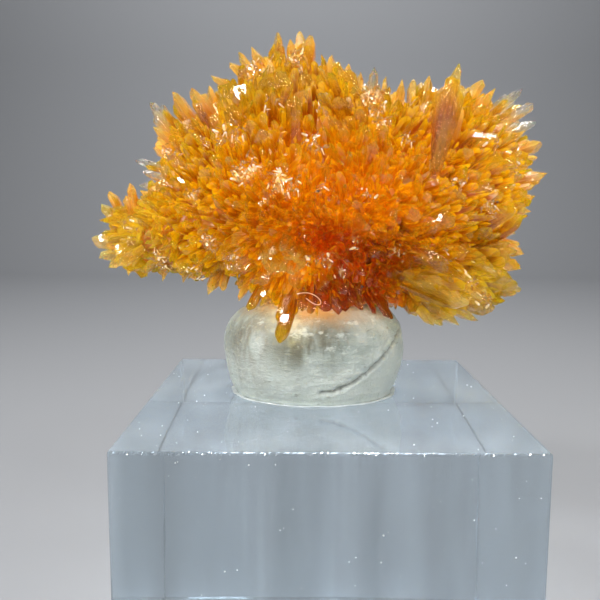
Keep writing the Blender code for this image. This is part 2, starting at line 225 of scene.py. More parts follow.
class Paint:
    """A node material under construction."""

    def __init__(self, name: str, view_colour: Colour) -> None:
        """Makes an empty node material.

        Args:
            name: The material's name.
            view_colour: Its plain colour in the viewport.
        """
        self.material = bpy.data.materials.new(name)
        self.material.use_nodes = True
        self.material.diffuse_color = (*view_colour, 1.0)
        self.tree = self.material.node_tree
        self.tree.nodes.clear()

    def node(self, kind: str, settings: dict[str, Any], sockets: dict[Any, Any],
             output: Any = 0) -> Wire:
        """Adds a node.

        Args:
            kind: The node's type.
            settings: Its own settings, set first.
            sockets: Values or wires for its inputs, by name or number.
            output: The output to return, by name or number.

        Returns:
            That output.
        """
        made = self.tree.nodes.new(kind)
        for name, value in settings.items():
            setattr(made, name, value)
        for key, value in sockets.items():
            if isinstance(value, Wire):
                self.tree.links.new(value.socket, made.inputs[key])
            else:
                made.inputs[key].default_value = value
        return Wire(self, made.outputs[output])

    def place(self) -> Wire:
        """Returns the Object coordinates."""
        return self.node("ShaderNodeTexCoord", {}, {}, "Object")

    def moved(self, vector: Wire, scale: Point) -> Wire:
        """Returns a vector stretched along its axes."""
        return self.node("ShaderNodeMapping", {}, {"Vector": vector, "Scale": scale})

    def attribute(self, name: str) -> Wire:
        """Returns a mesh attribute's number."""
        return self.node("ShaderNodeAttribute", {"attribute_name": name}, {}, "Fac")

    def noise(self, vector: Wire, scale: float, detail: float = 2.0, rough: float = 0.5) -> Wire:
        """Returns cloudy noise.

        Args:
            vector: Where it is read.
            scale: Its lumps to the unit.
            detail: How many finer layers it has.
            rough: How strong the finer layers are.

        Returns:
            The noise, about 0.5 on the mean.
        """
        return self.node("ShaderNodeTexNoise", {},
                         {"Vector": vector, "Scale": scale, "Detail": detail, "Roughness": rough})

    def streaks(self, vector: Wire, scale: Point, detail: float = 2.0, rough: float = 0.5) -> Wire:
        """Returns noise stretched along its axes, as noise() takes the rest."""
        return self.noise(self.moved(vector, scale), 1.0, detail, rough)

    def step(self, value: Wire, low: float, high: float) -> Wire:
        """Returns 0 below low and 1 above high, with a soft step between."""
        return self.node("ShaderNodeMapRange", {"interpolation_type": "SMOOTHSTEP", "clamp": True},
                         {"Value": value, "From Min": low, "From Max": high})

    def within(self, region: Region) -> Wire:
        """Returns 1 in a region and 0 far from it.

        Args:
            region: One of the object's regions.

        Returns:
            The mask.
        """
        zone = region.value
        scale = tuple(1.0 / (MM * share) for share in zone.stretch)
        middle = (*zone.centre[:2], zone.centre[2] + BLOCK_HEIGHT)
        middle = tuple(value / share for value, share in zip(middle, zone.stretch))
        here = self.moved(self.place(), scale)
        away = self.node("ShaderNodeVectorMath", {"operation": "DISTANCE"},
                         {0: here, 1: middle}, "Value")
        return 1.0 - self.step(away, zone.inner, zone.outer)

    def mix(self, share: Any, first: Any, second: Any) -> Wire:
        """Mixes two colours.

        Args:
            share: The second colour's share.
            first: A colour or wire.
            second: A colour or wire.

        Returns:
            The mixed colour.
        """
        pair = [value if isinstance(value, Wire) else (*value, 1.0) for value in (first, second)]
        return self.node("ShaderNodeMix", {"data_type": "RGBA"},
                         {0: share, 6: pair[0], 7: pair[1]}, 2)

    def bump(self, height: Wire, strength: float, distance: float) -> Wire:
        """Returns a normal bent by a height.

        Args:
            height: The height, from 0 to 1.
            strength: The share of it that counts.
            distance: How high 1 stands, in metres.

        Returns:
            The normal.
        """
        return self.node("ShaderNodeBump", {},
                         {"Height": height, "Strength": strength, "Distance": distance})

    def finish(self, sockets: dict[str, Any],
               absorb: tuple[Colour, float] | None = None) -> bpy.types.Material:
        """Adds the Principled shader and the output.

        Args:
            sockets: The shader's values and wires.
            absorb: The colour and density of the inside, if it takes light up.

        Returns:
            The finished material.
        """
        ends = {"Surface": self.node("ShaderNodeBsdfPrincipled", {}, sockets)}
        if absorb:
            ends["Volume"] = self.node("ShaderNodeVolumeAbsorption", {},
                                       {"Color": (*absorb[0], 1.0), "Density": absorb[1]})
        out = self.tree.nodes.new("ShaderNodeOutputMaterial")
        for name, wire in ends.items():
            self.tree.links.new(wire.socket, out.inputs[name])
        return self.material


# Finishes

@dataclass(frozen=True)
class CreediteFinish:
    """Clear to translucent crystal, gold at the tips and red in the depth, partly as painted shade.
    """

    name: str
    tip: Colour
    body: Colour
    root: Colour
    transmission: float = 0.9
    ior: float = 1.47
    subsurface: float = 0.4
    zoned: bool = True
    rough: tuple[float, float] = (0.015, 0.10)
    facets: float = 0.6
    coat_ior: float = 1.6
    gold: Colour = (0.74, 0.49, 0.010)
    amber: Colour = (0.68, 0.250, 0.003)
    yellow: Colour = (0.62, 0.47, 0.035)
    red: Colour = (0.50, 0.055, 0.002)
    shade_brown: Colour = (0.24, 0.028, 0.002)
    shade_olive: Colour = (0.40, 0.235, 0.005)
    film: Colour = (0.74, 0.46, 0.20)
    red_edge: tuple[float, float] = (0.0105, 0.0135)

    def by_region(self, paint: Paint, colour: Wire, cloud: Wire, patch: Wire) -> Wire:
        """Colours the cluster by region.

        Args:
            paint: The material under construction.
            colour: The colour so far.
            cloud: Fine noise.
            patch: Coarse noise.

        Returns:
            The new colour.
        """
        colour = paint.mix(paint.within(Region.MIDDLE) * 0.75, colour, self.amber)
        # Painted shade: the hollow at the heart and the recesses low in front go deep red.
        heart, lower, front = (paint.within(region)
                               for region in (Region.HEART, Region.LOWER, Region.FRONT))
        red = (heart + lower + front * 0.6 + (patch - 0.5) * 0.8).clamped()
        red = red * (heart + lower + front).clamped()
        across = paint.node("ShaderNodeSeparateXYZ", {}, {0: paint.place()}, 0)
        red = red * (1.0 - paint.step(across, *self.red_edge))
        colour = paint.mix(red * 0.9, colour, self.red)
        # Painted shade: the lower front darkens towards brown in cloudy patches.
        dark = (lower + front * 0.7) * paint.step(cloud, 0.35, 0.6)
        colour = paint.mix(dark.clamped() * 0.85, colour, self.shade_brown)
        left, right, crown, saddle = (
            paint.within(region) for region in (Region.LEFT_LOBE, Region.RIGHT_LOBE,
                                                Region.CROWN, Region.SADDLE))
        pale = (left + right + crown * 0.9 + saddle) * paint.step(patch, 0.25, 0.55)
        colour = paint.mix(pale.clamped() * 0.9, colour, self.yellow)
        # Painted shade: the lower right front is cast towards olive.
        colour = paint.mix(paint.within(Region.OLIVE) * 0.6, colour, self.shade_olive)
        # Painted shade: cloudy brown gaps between the crystals of the right lobe.
        return paint.mix(right * paint.step(cloud, 0.55, 0.68) * 0.55, colour, self.shade_brown)

    def make(self) -> bpy.types.Material:
        """Makes the material.

        Returns:
            The finished material.
        """
        paint = Paint(self.name, self.body)
        here = paint.place()
        depth = paint.attribute("depth")
        tone = paint.attribute("tone")
        cloud = paint.noise(here, 170.0, 3.0, 0.6)
        patch = paint.noise(here, 85.0, 2.0)
        # Partly painted shade: roots run dark, for thick crystal's deeper colour and crevice shade.
        down = paint.step(depth + (cloud - 0.5) * 0.5, 0.06, 0.52)
        colour = paint.mix(tone, self.body, self.gold if self.zoned else self.tip)
        colour = paint.mix(1.0 - paint.step(depth, 0.0, 0.3), colour, self.tip)
        colour = paint.mix(down, colour, self.root)
        if self.zoned:
            colour = self.by_region(paint, colour, cloud, patch)
        # Painted reflection: pale pinkish patches on lighter crystals' faces stand for sheen.
        film = paint.step(paint.noise(here, 420.0, 2.0), 0.56, 0.7)
        film = film * paint.step(tone, 0.6, 0.95) * 0.16
        colour = paint.mix(film, colour, self.film)
        growth = paint.node("ShaderNodeUVMap", {"uv_map": "growth"}, {})
        lines = paint.streaks(growth, (3.6, 0.12, 1.0), 2.0, 0.6)
        pits = paint.streaks(growth, (1.4, 1.4, 1.0), 3.0, 0.6)
        rough = paint.step(cloud, 0.35, 0.75) * (self.rough[1] - self.rough[0]) + self.rough[0]
        cells = paint.node("ShaderNodeTexVoronoi", {}, {"Vector": here, "Scale": 2300.0},
                           "Distance")
        # Partly streaky colour, partly painted highlight and shade along each crystal's striations.
        streak = paint.streaks(growth, (4.4, 0.10, 1.0), 1.0, 0.5)
        colour = paint.mix(paint.step(streak, 0.54, 0.66) * 0.4, colour, self.tip)
        colour = paint.mix(paint.step(0.0 - streak, -0.47, -0.36) * 0.5, colour, self.root)
        # Painted highlight: the side edges near the tips are lightened like a clear blade's
        # outline.
        rim = paint.step(paint.attribute("edge"), 0.80, 0.98) * (1.0 - paint.step(depth, 0.2, 0.6))
        colour = paint.mix(rim * 0.6, colour, self.tip)
        sheen = paint.streaks(growth, (3.0, 1.5, 1.0), 2.0, 0.6)
        gloss = paint.step(sheen, 0.42, 0.58) * 0.85 + 0.05
        normal = paint.bump(lines + pits * 0.6 + cells * self.facets, 0.5, 0.00014)
        return paint.finish({
            "Base Color": colour, "Roughness": rough, "Normal": normal, "IOR": self.ior,
            "Transmission Weight": self.transmission, "Subsurface Weight": self.subsurface,
            "Subsurface Radius": (1.0, 0.5, 0.15), "Subsurface Scale": 0.002,
            "Coat Weight": gloss, "Coat Roughness": 0.03, "Coat IOR": self.coat_ior,
        })


@dataclass(frozen=True)
class MassFinish:
    """The grown-together inside of the cluster, seen between the blades; its dark colours are
    partly painted shade.
    """

    name: str = "creedite_inside"
    orange: Colour = (0.28, 0.080, 0.002)
    red: Colour = (0.14, 0.012, 0.001)
    gold: Colour = (0.38, 0.16, 0.003)

    def make(self) -> bpy.types.Material:
        """Makes the material.

        Returns:
            The finished material.
        """
        paint = Paint(self.name, self.orange)
        here = paint.place()
        cloud = paint.noise(here, 240.0, 4.0, 0.6)
        colour = paint.mix(paint.step(cloud, 0.3, 0.7), self.orange, self.gold)
        # Painted shade: deep red around the middle, in the hollow under the heart.
        colour = paint.mix(paint.within(Region.INSIDE) * 0.8, colour, self.red)
        cells = paint.node("ShaderNodeTexVoronoi", {}, {"Vector": here, "Scale": 900.0}, "Distance")
        return paint.finish({
            "Base Color": colour, "Roughness": 0.28, "IOR": 1.46, "Subsurface Weight": 0.6,
            "Subsurface Radius": (1.0, 0.3, 0.05), "Subsurface Scale": 0.004,
            "Normal": paint.bump(cells, 0.8, 0.0005),
        })


@dataclass(frozen=True)
class PuttyFinish:
    """Greenish white mineral tack, smeared by fingers, with painted shade and orange glow under the
    crystals.

    Its foot and shoulder end over a range of heights, in metres.
    """

    name: str = "mineral_putty"
    pale: Colour = (0.58, 0.65, 0.60)
    green: Colour = (0.40, 0.475, 0.43)
    shade_olive: Colour = (0.15, 0.145, 0.095)
    wiped: Colour = (0.78, 0.83, 0.76)
    dark_streak: Colour = (0.22, 0.20, 0.145)
    painted_glow: Colour = (0.52, 0.27, 0.055)
    dark: Colour = (0.13, 0.12, 0.09)
    foot: tuple[float, float] = (0.0385, 0.0430)
    shoulder: tuple[float, float] = (0.0462, 0.0490)

    def make(self) -> bpy.types.Material:
        """Makes the material.

        Returns:
            The finished material.
        """
        paint = Paint(self.name, self.pale)
        here = paint.place()
        cloud = paint.noise(here, 110.0, 4.0, 0.6)
        smear = paint.streaks(here, (260.0, 260.0, 90.0), 4.0, 0.65)
        grain = paint.noise(here, 1500.0, 3.0, 0.7)
        colour = paint.mix(paint.step(cloud, 0.35, 0.7), self.pale, self.green)
        colour = paint.mix(paint.step(smear, 0.45, 0.75) * 0.5, colour, self.wiped)
        # Darker streaks towards the left.
        left = paint.within(Region.PUTTY_LEFT)
        colour = paint.mix(left * paint.step(smear, 0.60, 0.40) * 0.8, colour, self.dark_streak)
        height = paint.node("ShaderNodeSeparateXYZ", {}, {0: here}, 2)
        # Painted shade: the putty's top front under the crystals darkens towards olive.
        shade = paint.within(Region.PUTTY_FRONT)
        shade = (shade * (0.4 + paint.step(smear, 0.35, 0.6) * 0.7)).clamped()
        colour = paint.mix(shade * 0.95, colour, self.shade_olive)
        low = 1.0 - paint.step(height + (smear - 0.5) * 0.008, *self.foot)
        colour = paint.mix(low * 0.5, colour, self.wiped)
        # Painted light: an orange glow over the putty's top, from light through the crystals.
        upper = paint.step(height + (cloud - 0.5) * 0.006, *self.shoulder)
        colour = paint.mix(upper * 0.8, colour, self.painted_glow)
        # Painted shade: the fold is darkened along the crease.
        crease = paint.attribute("crease")
        colour = paint.mix((crease * (0.55 + smear * 0.5)).clamped() * 0.8, colour, self.dark)
        pits = paint.node("ShaderNodeTexVoronoi", {}, {"Vector": here, "Scale": 320.0}, "Distance")
        spots = (1.0 - paint.step(pits, 0.03, 0.1)) * paint.step(cloud, 0.5, 0.62)
        colour = paint.mix(spots * 0.7, colour, self.dark)
        scratch = paint.streaks(here, (420.0, 420.0, 1500.0), 4.0, 0.75)
        nicks = paint.step(scratch, 0.60, 0.70) * paint.step(cloud, 0.40, 0.55)
        colour = paint.mix(nicks * 0.55, colour, self.dark)
        strokes = paint.streaks(here, (500.0, 500.0, 900.0), 3.0, 0.7)
        colour = paint.mix(paint.step(strokes, 0.56, 0.68) * 0.5, colour, self.wiped)
        rough = 0.24 + paint.step(smear, 0.3, 0.75) * 0.30
        return paint.finish({
            "Base Color": colour, "Roughness": rough, "IOR": 1.48,
            "Subsurface Weight": 0.25, "Subsurface Radius": (1.0, 0.8, 0.5),
            "Subsurface Scale": 0.002, "Coat Weight": 0.5, "Coat Roughness": 0.28,
            "Normal": paint.bump(smear + grain * 0.4 + scratch * 0.7, 0.7, 0.0006),
        })


@dataclass(frozen=True)
class AcrylicFinish:
    """Clear acrylic with the faint cool tint of a thick piece and fine polishing lines."""

    name: str = "clear_acrylic"
    tint: Colour = (0.56, 0.59, 0.60)
    haze: Colour = (0.74, 0.78, 0.80)
    inside: Colour = (0.50, 0.63, 0.735)
    density: float = 22.0

    def make(self) -> bpy.types.Material:
        """Makes the material.

        Returns:
            The finished material.
        """
        paint = Paint(self.name, self.tint)
        here = paint.place()
        lines = paint.streaks(here, (900.0, 900.0, 14.0), 3.0, 0.6)
        wipe = paint.streaks(here, (60.0, 200.0, 60.0), 3.0, 0.6)
        rough = 0.015 + paint.step(wipe, 0.45, 0.8) * 0.07
        streaks = paint.streaks(here, (150.0, 60.0, 14.0), 3.0, 0.6)
        tint = paint.mix(paint.step(streaks, 0.36, 0.66), self.tint, self.haze)
        return paint.finish({
            "Base Color": tint, "Roughness": rough, "IOR": 1.49,
            "Transmission Weight": 0.82, "Normal": paint.bump(lines, 0.12, 0.00006),
        }, (self.inside, self.density))


@dataclass(frozen=True)
class PlainFinish:
    """A small thing's finish: one colour, broken by fine noise."""

    name: str
    colour: Colour
    second: Colour
    rough: float
    scale: float = 2500.0

    def make(self) -> bpy.types.Material:
        """Makes the material.

        Returns:
            The finished material.
        """
        paint = Paint(self.name, self.colour)
        cloud = paint.noise(paint.place(), self.scale, 2.0)
        colour = paint.mix(paint.step(cloud, 0.35, 0.65), self.colour, self.second)
        return paint.finish({"Base Color": colour, "Roughness": self.rough})


# Crystal shapes

class Habit(Enum):
    """A crystal's sides, its end's ridge and slope, and how many corners are cut off.

    A blade is flat with a rounded chisel end, and a prism is a lozenge with a roof end.
    """

    BLADE = (6, (0.14, 0.30), (0.7, 1.5), 3)
    PRISM = (4, (0.08, 0.26), (0.45, 0.95), 0)


@dataclass(frozen=True)
class CrystalForm:
    """One crystal's shape in widths, its tip at the origin and its root down -Z."""

    depth: ClassVar[float] = 8.0
    root_from: ClassVar[float] = -6.0
    root_share: ClassVar[float] = 0.62
    corner: ClassVar[tuple[float, float]] = (0.13, -0.16)
    weld: ClassVar[float] = 0.004

    points: np.ndarray
    rooted: np.ndarray
    loops: np.ndarray
    totals: np.ndarray

    @staticmethod
    def _cut(shape: bmesh.types.BMesh, place: Point, normal: Point) -> None:
        """Cuts the end off along a plane and closes the cut.

        Args:
            shape: The bmesh.
            place: A place on the plane, in widths.
            normal: The direction of what is cut off.
        """
        cut = bmesh.ops.bisect_plane(
            shape, geom=shape.verts[:] + shape.edges[:] + shape.faces[:], dist=1e-5,
            plane_co=place, plane_no=normal, clear_outer=True)
        rim = [item for item in cut["geom_cut"] if isinstance(item, bmesh.types.BMEdge)]
        if rim:
            bmesh.ops.edgeloop_fill(shape, edges=rim)

    @staticmethod
    def _rise(shape: bmesh.types.BMesh, face: bmesh.types.BMFace, height: float, share: float,
              keep: bool) -> bmesh.types.BMFace:
        """Extrudes a ring's face up and scales it.

        Args:
            shape: The bmesh.
            face: The face to extrude.
            height: How far it rises, in widths.
            share: How many times larger the new ring is.
            keep: Whether the old face stays, as the crystal's root.

        Returns:
            The new face.
        """
        body = bmesh.ops.extrude_face_region(shape, geom=[face], use_keep_orig=keep)
        ring = [item for item in body["geom"] if isinstance(item, bmesh.types.BMVert)]
        bmesh.ops.translate(shape, vec=(0.0, 0.0, height), verts=ring)
        bmesh.ops.scale(shape, vec=(share, share, 1.0), verts=ring)
        if not keep and face.is_valid:
            bmesh.ops.delete(shape, geom=[face], context="FACES_ONLY")
        return next(item for item in body["geom"] if isinstance(item, bmesh.types.BMFace))

    @classmethod
    def grow(cls, habit: Habit, draw: random.Random) -> "CrystalForm":
        """Cuts one crystal.

        Args:
            habit: Its kind.
            draw: The source of its odd numbers.

        Returns:
            The form.
        """
        sides, ridges, slopes, corners = habit.value
        shape = bmesh.new()
        bmesh.ops.create_circle(shape, segments=sides, radius=0.5, cap_ends=True)
        bmesh.ops.translate(shape, vec=(0.0, 0.0, -cls.depth), verts=shape.verts)
        rise = draw.uniform(1.4, 2.2)
        bmesh.ops.scale(shape, vec=(cls.root_share, cls.root_share, 1.0), verts=shape.verts)
        root = next(iter(shape.faces))
        face = cls._rise(shape, root, cls.depth - rise, 1.0 / cls.root_share, True)
        face = cls._rise(shape, face, rise, draw.uniform(0.8, 1.0), False)
        offset = draw.uniform(-0.08, 0.08)
        for side in (1, -1):
            cls._cut(shape, (0.0, offset, 0.0), (0.0, side, draw.uniform(0.45, 0.8)))
        ridge = draw.uniform(*ridges)
        shift = draw.uniform(-0.12, 0.12)
        for side in (1, -1):
            cls._cut(shape, (side * ridge + shift, 0.0, 0.0),
                     (side, 0.0, draw.uniform(*slopes)))
        out, down = cls.corner
        for _ in range(corners):
            turn = draw.uniform(0.0, math.tau)
            aim = (math.cos(turn), math.sin(turn), draw.uniform(0.5, 1.1))
            cls._cut(shape, (out * aim[0], out * aim[1], down), aim)
        bmesh.ops.remove_doubles(shape, verts=shape.verts, dist=cls.weld)
        bmesh.ops.dissolve_degenerate(shape, dist=cls.weld, edges=shape.edges)
        bmesh.ops.recalc_face_normals(shape, faces=shape.faces)
        shape.verts.index_update()
        points = np.array([vert.co[:] for vert in shape.verts])
        points[:, 2] -= points[:, 2].max()
        loops = np.array([vert.index for item in shape.faces for vert in item.verts])
        totals = np.array([len(item.verts) for item in shape.faces])
        shape.free()
        return cls(points, points[:, 2] < cls.root_from, loops, totals)


@dataclass
class CrystalSet:
    """Places of many crystals, as rows in millimetres."""

    tips: list[np.ndarray] = field(default_factory=list)
    aims: list[np.ndarray] = field(default_factory=list)
    sizes: list[tuple[float, float, float, float]] = field(default_factory=list)
    kinds: list[tuple[int, int]] = field(default_factory=list)
    tones: list[float] = field(default_factory=list)

    def add(self, tip: np.ndarray, aim: np.ndarray, width: float, length: float, flat: float,
            roll: float, form: int, tone: float, paint: int = 0) -> None:
        """Adds a crystal.

        Args:
            tip: Its tip, in millimetres.
            aim: The direction from root to tip.
            width: Its width in millimetres.
            length: Its length in millimetres.
            flat: Its thickness as a share of its width.
            roll: Its turn round its own line.
            form: The number of its form.
            tone: Its own shade, from 0 to 1.
            paint: The number of its material.
        """
        self.tips.append(tip)
        self.aims.append(aim)
        self.sizes.append((width, length, flat, roll))
        self.kinds.append((form, paint))
        self.tones.append(tone)

    def build(self, name: str, forms: Sequence[CrystalForm],
              paints: Sequence[bpy.types.Material]) -> bpy.types.Object:
        """Joins the crystals into one mesh.

        Args:
            name: The object's name.
            forms: The forms that the crystals are copies of.
            paints: The object's materials.

        Returns:
            The object, with the attributes that its finish reads.
        """
        tips = np.array(self.tips)
        aims = unit(np.array(self.aims))
        sizes = np.array(self.sizes)
        kinds = np.array(self.kinds)
        tones = np.array(self.tones)
        side = unit(np.cross(aims, np.where(np.abs(aims[:, 2:]) < 0.9, (0, 0, 1), (1, 0, 0))))
        over = np.cross(aims, side)
        roll = sizes[:, 3:]
        across = side * np.cos(roll) + over * np.sin(roll)
        through = np.cross(aims, across)
        rows = {key: [] for key in ("co", "depth", "tone", "edge", "loop", "total", "paint", "uv")}
        count = 0
        for index, form in enumerate(forms):
            mine = np.nonzero(kinds[:, 0] == index)[0]
            if not len(mine):
                continue
            width, length, flat = (sizes[mine, column][:, None] for column in range(3))
            x = form.points[:, 0] * width
            y = form.points[:, 1] * width * flat
            z = np.maximum(form.points[:, 2] * width, -0.9 * length)
            z = np.where(form.rooted, -length, z)
            co = (tips[mine][:, None] + across[mine][:, None] * x[..., None]
                  + through[mine][:, None] * y[..., None] + aims[mine][:, None] * z[..., None])
            size = len(form.points)
            loops = form.loops[None] + (count + size * np.arange(len(mine)))[:, None]
            rows["co"].append(co.reshape(-1, 3))
            rows["depth"].append((-z / length).ravel())
            rows["tone"].append(np.repeat(tones[mine], size))
            rows["edge"].append(np.tile(np.abs(form.points[:, 0]) * 2.0, len(mine)))
            rows["loop"].append(loops.ravel())
            rows["total"].append(np.tile(form.totals, len(mine)))
            rows["paint"].append(np.repeat(kinds[mine, 1], len(form.totals)))
            own = tones[mine][:, None]
            flat_uv = np.stack([x + y + own * 40.0, z + own * 90], -1)
            rows["uv"].append(flat_uv[:, form.loops].reshape(-1, 2))
            count += size * len(mine)
        data = {key: np.concatenate(value) for key, value in rows.items()}
        mesh = bpy.data.meshes.new(name)
        mesh.vertices.add(count)
        mesh.vertices.foreach_set("co", to_metres(data["co"]).ravel())
        mesh.loops.add(len(data["loop"]))
        mesh.loops.foreach_set("vertex_index", data["loop"])
        mesh.polygons.add(len(data["total"]))
        starts = np.concatenate(([0], np.cumsum(data["total"])[:-1]))
        mesh.polygons.foreach_set("loop_start", starts)
        mesh.polygons.foreach_set("material_index", data["paint"])
        mesh.update(calc_edges=True)
        mesh.shade_flat()
        for key in ("depth", "tone", "edge"):
            mesh.attributes.new(key, "FLOAT", "POINT").data.foreach_set("value", data[key])
        mesh.uv_layers.new(name="growth").data.foreach_set("uv", data["uv"].ravel())
        for paint in paints:
            mesh.materials.append(paint)
        return add_object(name, mesh)


# The cluster

@dataclass(frozen=True)
class Lobe:
    """An egg shape that crystal tips reach, in millimetres."""

    centre: Point
    reach: tuple[float, float]
    up: float
    down: float

    def depth(self, places: np.ndarray) -> np.ndarray:
        """Returns how far out places are: under 1 is inside.

        Args:
            places: Rows in millimetres.

        Returns:
            One number a row.
        """
        offset = places - np.array(self.centre)
        tall = np.where(offset[:, 2] > 0, self.up, self.down)
        return np.sqrt((offset[:, 0] / self.reach[0]) ** 2 + (offset[:, 1] / self.reach[1]) ** 2
                       + (offset[:, 2] / tall) ** 2)


class BladeFinish(IntEnum):
    """The material of a blade, by its number on the piece."""

    GOLD = 0
    CLEAR = 1
    STRAW = 2
    RIM = 3


class SparkleFinish(IntEnum):
    """The material of a tiny crystal, by its number on the piece."""

    BRIGHT = 0
    DROP = 1
    FROST = 2


@dataclass(frozen=True)
class Blade:
    """An outline crystal: tip place, lean from upright, sizes in millimetres."""

    x: float
    z: float
    lean: float
    width: float
    length: float = 8.0
    paint: BladeFinish = BladeFinish.RIM
    y: float | None = None
    pitch: float = 0.0


GOLD, CLEAR, STRAW, RIM = BladeFinish
OUTLINE: tuple[Blade, ...] = tuple(Blade(*row) for row in (
    # Left lobe
    (-31.0, 18.6, -125, 2.0, 6, STRAW), (-32.4, 20.0, -104, 1.9, 6, STRAW),
    (-33.4, 22.5, -80, 2.1, 7, STRAW), (-31.8, 27.6, -46, 1.8, 7, STRAW),
    (-30.4, 29.4, -26, 1.7, 7), (-27.6, 30.6, -8, 1.9, 7),
    # Left shoulder
    (-26.2, 30.4, -82, 1.5, 7, CLEAR), (-25.6, 32.3, -64, 1.3, 7, CLEAR),
    (-26.7, 33.8, -72, 1.2, 8, CLEAR), (-24.2, 35.4, -66, 1.7, 8), (-24.1, 38.4, -50, 1.7, 8),
    (-24.5, 41.7, -38, 2.5, 9, CLEAR), (-21.4, 43.0, -37, 2.1, 9), (-18.8, 43.6, -30, 1.9, 9),
    (-16.4, 43.8, -20, 1.8, 8), (-16.0, 45.4, -56, 1.6, 8),
    # Crown
    (-13.4, 47.2, -45, 1.6, 9), (-12.2, 48.3, -38, 1.7, 9), (-10.3, 49.3, -28, 2.2, 10),
    (-7.0, 50.9, -9, 2.7, 10), (-4.9, 50.3, -7, 2.2, 9), (-3.6, 51.2, -3, 2.8, 10),
    (-2.2, 50.8, 8, 2.6, 10), (0.8, 48.2, 4, 1.9, 9), (2.9, 46.9, 6, 2.0, 9),
    (4.7, 45.9, 6, 1.8, 8), (6.6, 46.6, 1, 1.8, 8, CLEAR), (8.4, 45.3, 9, 1.7, 8),
    (10.6, 45.0, 6, 1.8, 8), (12.1, 44.8, 4, 1.9, 8), (14.2, 45.5, 6, 2.0, 8),
    # Right dome
    (18.0, 46.8, 13, 2.8, 14, STRAW, -9.0, 14), (18.5, 42.6, 9, 2.8, 11, RIM, -9.0, -12),
    (21.6, 45.0, 30, 1.9, 9), (23.6, 43.8, 35, 1.9, 9), (27.3, 43.8, 50, 2.1, 10, CLEAR),
    (28.9, 41.7, 57, 1.9, 9, CLEAR), (29.4, 39.4, 64, 1.9, 9, CLEAR), (30.4, 36.2, 73, 2.1, 9),
    (31.3, 32.2, 74, 2.1, 9), (30.0, 29.0, 82, 1.9, 8), (29.2, 26.8, 96, 1.9, 8),
    # Lower right lobe
    (27.2, 23.6, 96, 1.9, 8), (28.6, 20.7, 108, 2.1, 8), (28.2, 18.6, 98, 2.0, 8),
    (28.4, 15.8, 92, 2.3, 9, STRAW), (22.4, 11.2, 116, 2.5, 9, STRAW, -3.0, -14),
    (19.6, 10.3, 124, 2.6, 9, STRAW, -4.0, -16), (16.0, 10.4, 140, 2.4, 8, STRAW, -4.0, -16),
    (20.8, 13.4, 112, 2.4, 9, STRAW, -9.0, -10), (23.6, 15.0, 104, 2.2, 9, STRAW, -8.0, -10),
    # Underside, with the blade that hangs in front of the putty
    (-12.2, 13.8, -158, 1.9, 7, RIM, -2.0), (-16.7, 14.6, -156, 1.9, 7, RIM, 0.0),
    (-20.4, 16.4, -160, 1.9, 7, RIM, 1.0), (-23.2, 16.6, -168, 1.8, 6, RIM, 1.0),
    (-28.0, 17.4, -170, 1.9, 6, RIM, 0.5), (-6.5, 7.6, -164, 2.2, 9, GOLD, -9.2, -22),
    # Short blades over the front of the putty
    (9.6, 11.3, 150, 1.4, 6, GOLD, -8.6, -34), (5.2, 12.6, 166, 1.3, 6, GOLD, -9.0, -36),
    (0.4, 12.3, 176, 1.4, 6, GOLD, -9.2, -36), (-3.2, 12.4, -172, 1.3, 6, GOLD, -9.2, -36),
    (-10.9, 12.4, -152, 1.4, 6, GOLD, -7.6, -30)
))


# Patches of tiny clear crystals in the front view: x, height, reach and how many to a place
SPARKLES: tuple[tuple[float, float, float, int], ...] = (
    (-5.9, 30.7, 1.9, 7), (-10.8, 32.4, 1.5, 5), (-12.4, 31.9, 1.1, 4), (-1.3, 36.0, 1.3, 5),
    (-9.2, 28.3, 0.8, 3), (-12.9, 38.1, 1.6, 2), (-14.5, 37.2, 1.3, 2), (6.4, 43.0, 1.3, 5),
    (7.4, 39.8, 1.8, 2), (-10.6, 46.6, 1.5, 2), (-4.2, 47.7, 1.2, 4), (0.5, 19.6, 0.7, 4),
    (-2.1, 19.9, 0.8, 3), (-0.9, 30.3, 1.1, 2), (9.2, 12.6, 0.9, 4), (9.2, 10.6, 0.8, 4),
    (4.9, 22.1, 0.9, 2), (10.6, 21.1, 0.9, 2), (-16.4, 22.1, 1.1, 3), (-13.3, 19.6, 1.1, 2),
    (17.3, 19.9, 1.0, 3), (24.0, 26.8, 0.8, 4), (14.8, 33.5, 0.8, 3), (19.0, 30.5, 0.9, 4),
    (6.2, 29.5, 0.9, 2), (-22.0, 35.0, 1.0, 2), (22.9, 27.6, 0.8, 3), (-17.0, 36.4, 0.9, 2),
    (-7.6, 41.5, 1.0, 2), (-0.6, 41.0, 0.9, 2), (11.5, 37.0, 0.9, 2), (23.5, 36.5, 1.0, 2),
    (26.8, 33.0, 0.9, 2), (-27.5, 24.5, 1.1, 2), (-24.0, 19.5, 1.2, 3), (-18.5, 17.8, 1.1, 2),
    (20.5, 17.0, 1.0, 3), (23.5, 14.2, 0.9, 3), (-19.0, 29.0, 0.9, 2), (2.6, 17.6, 0.8, 2))


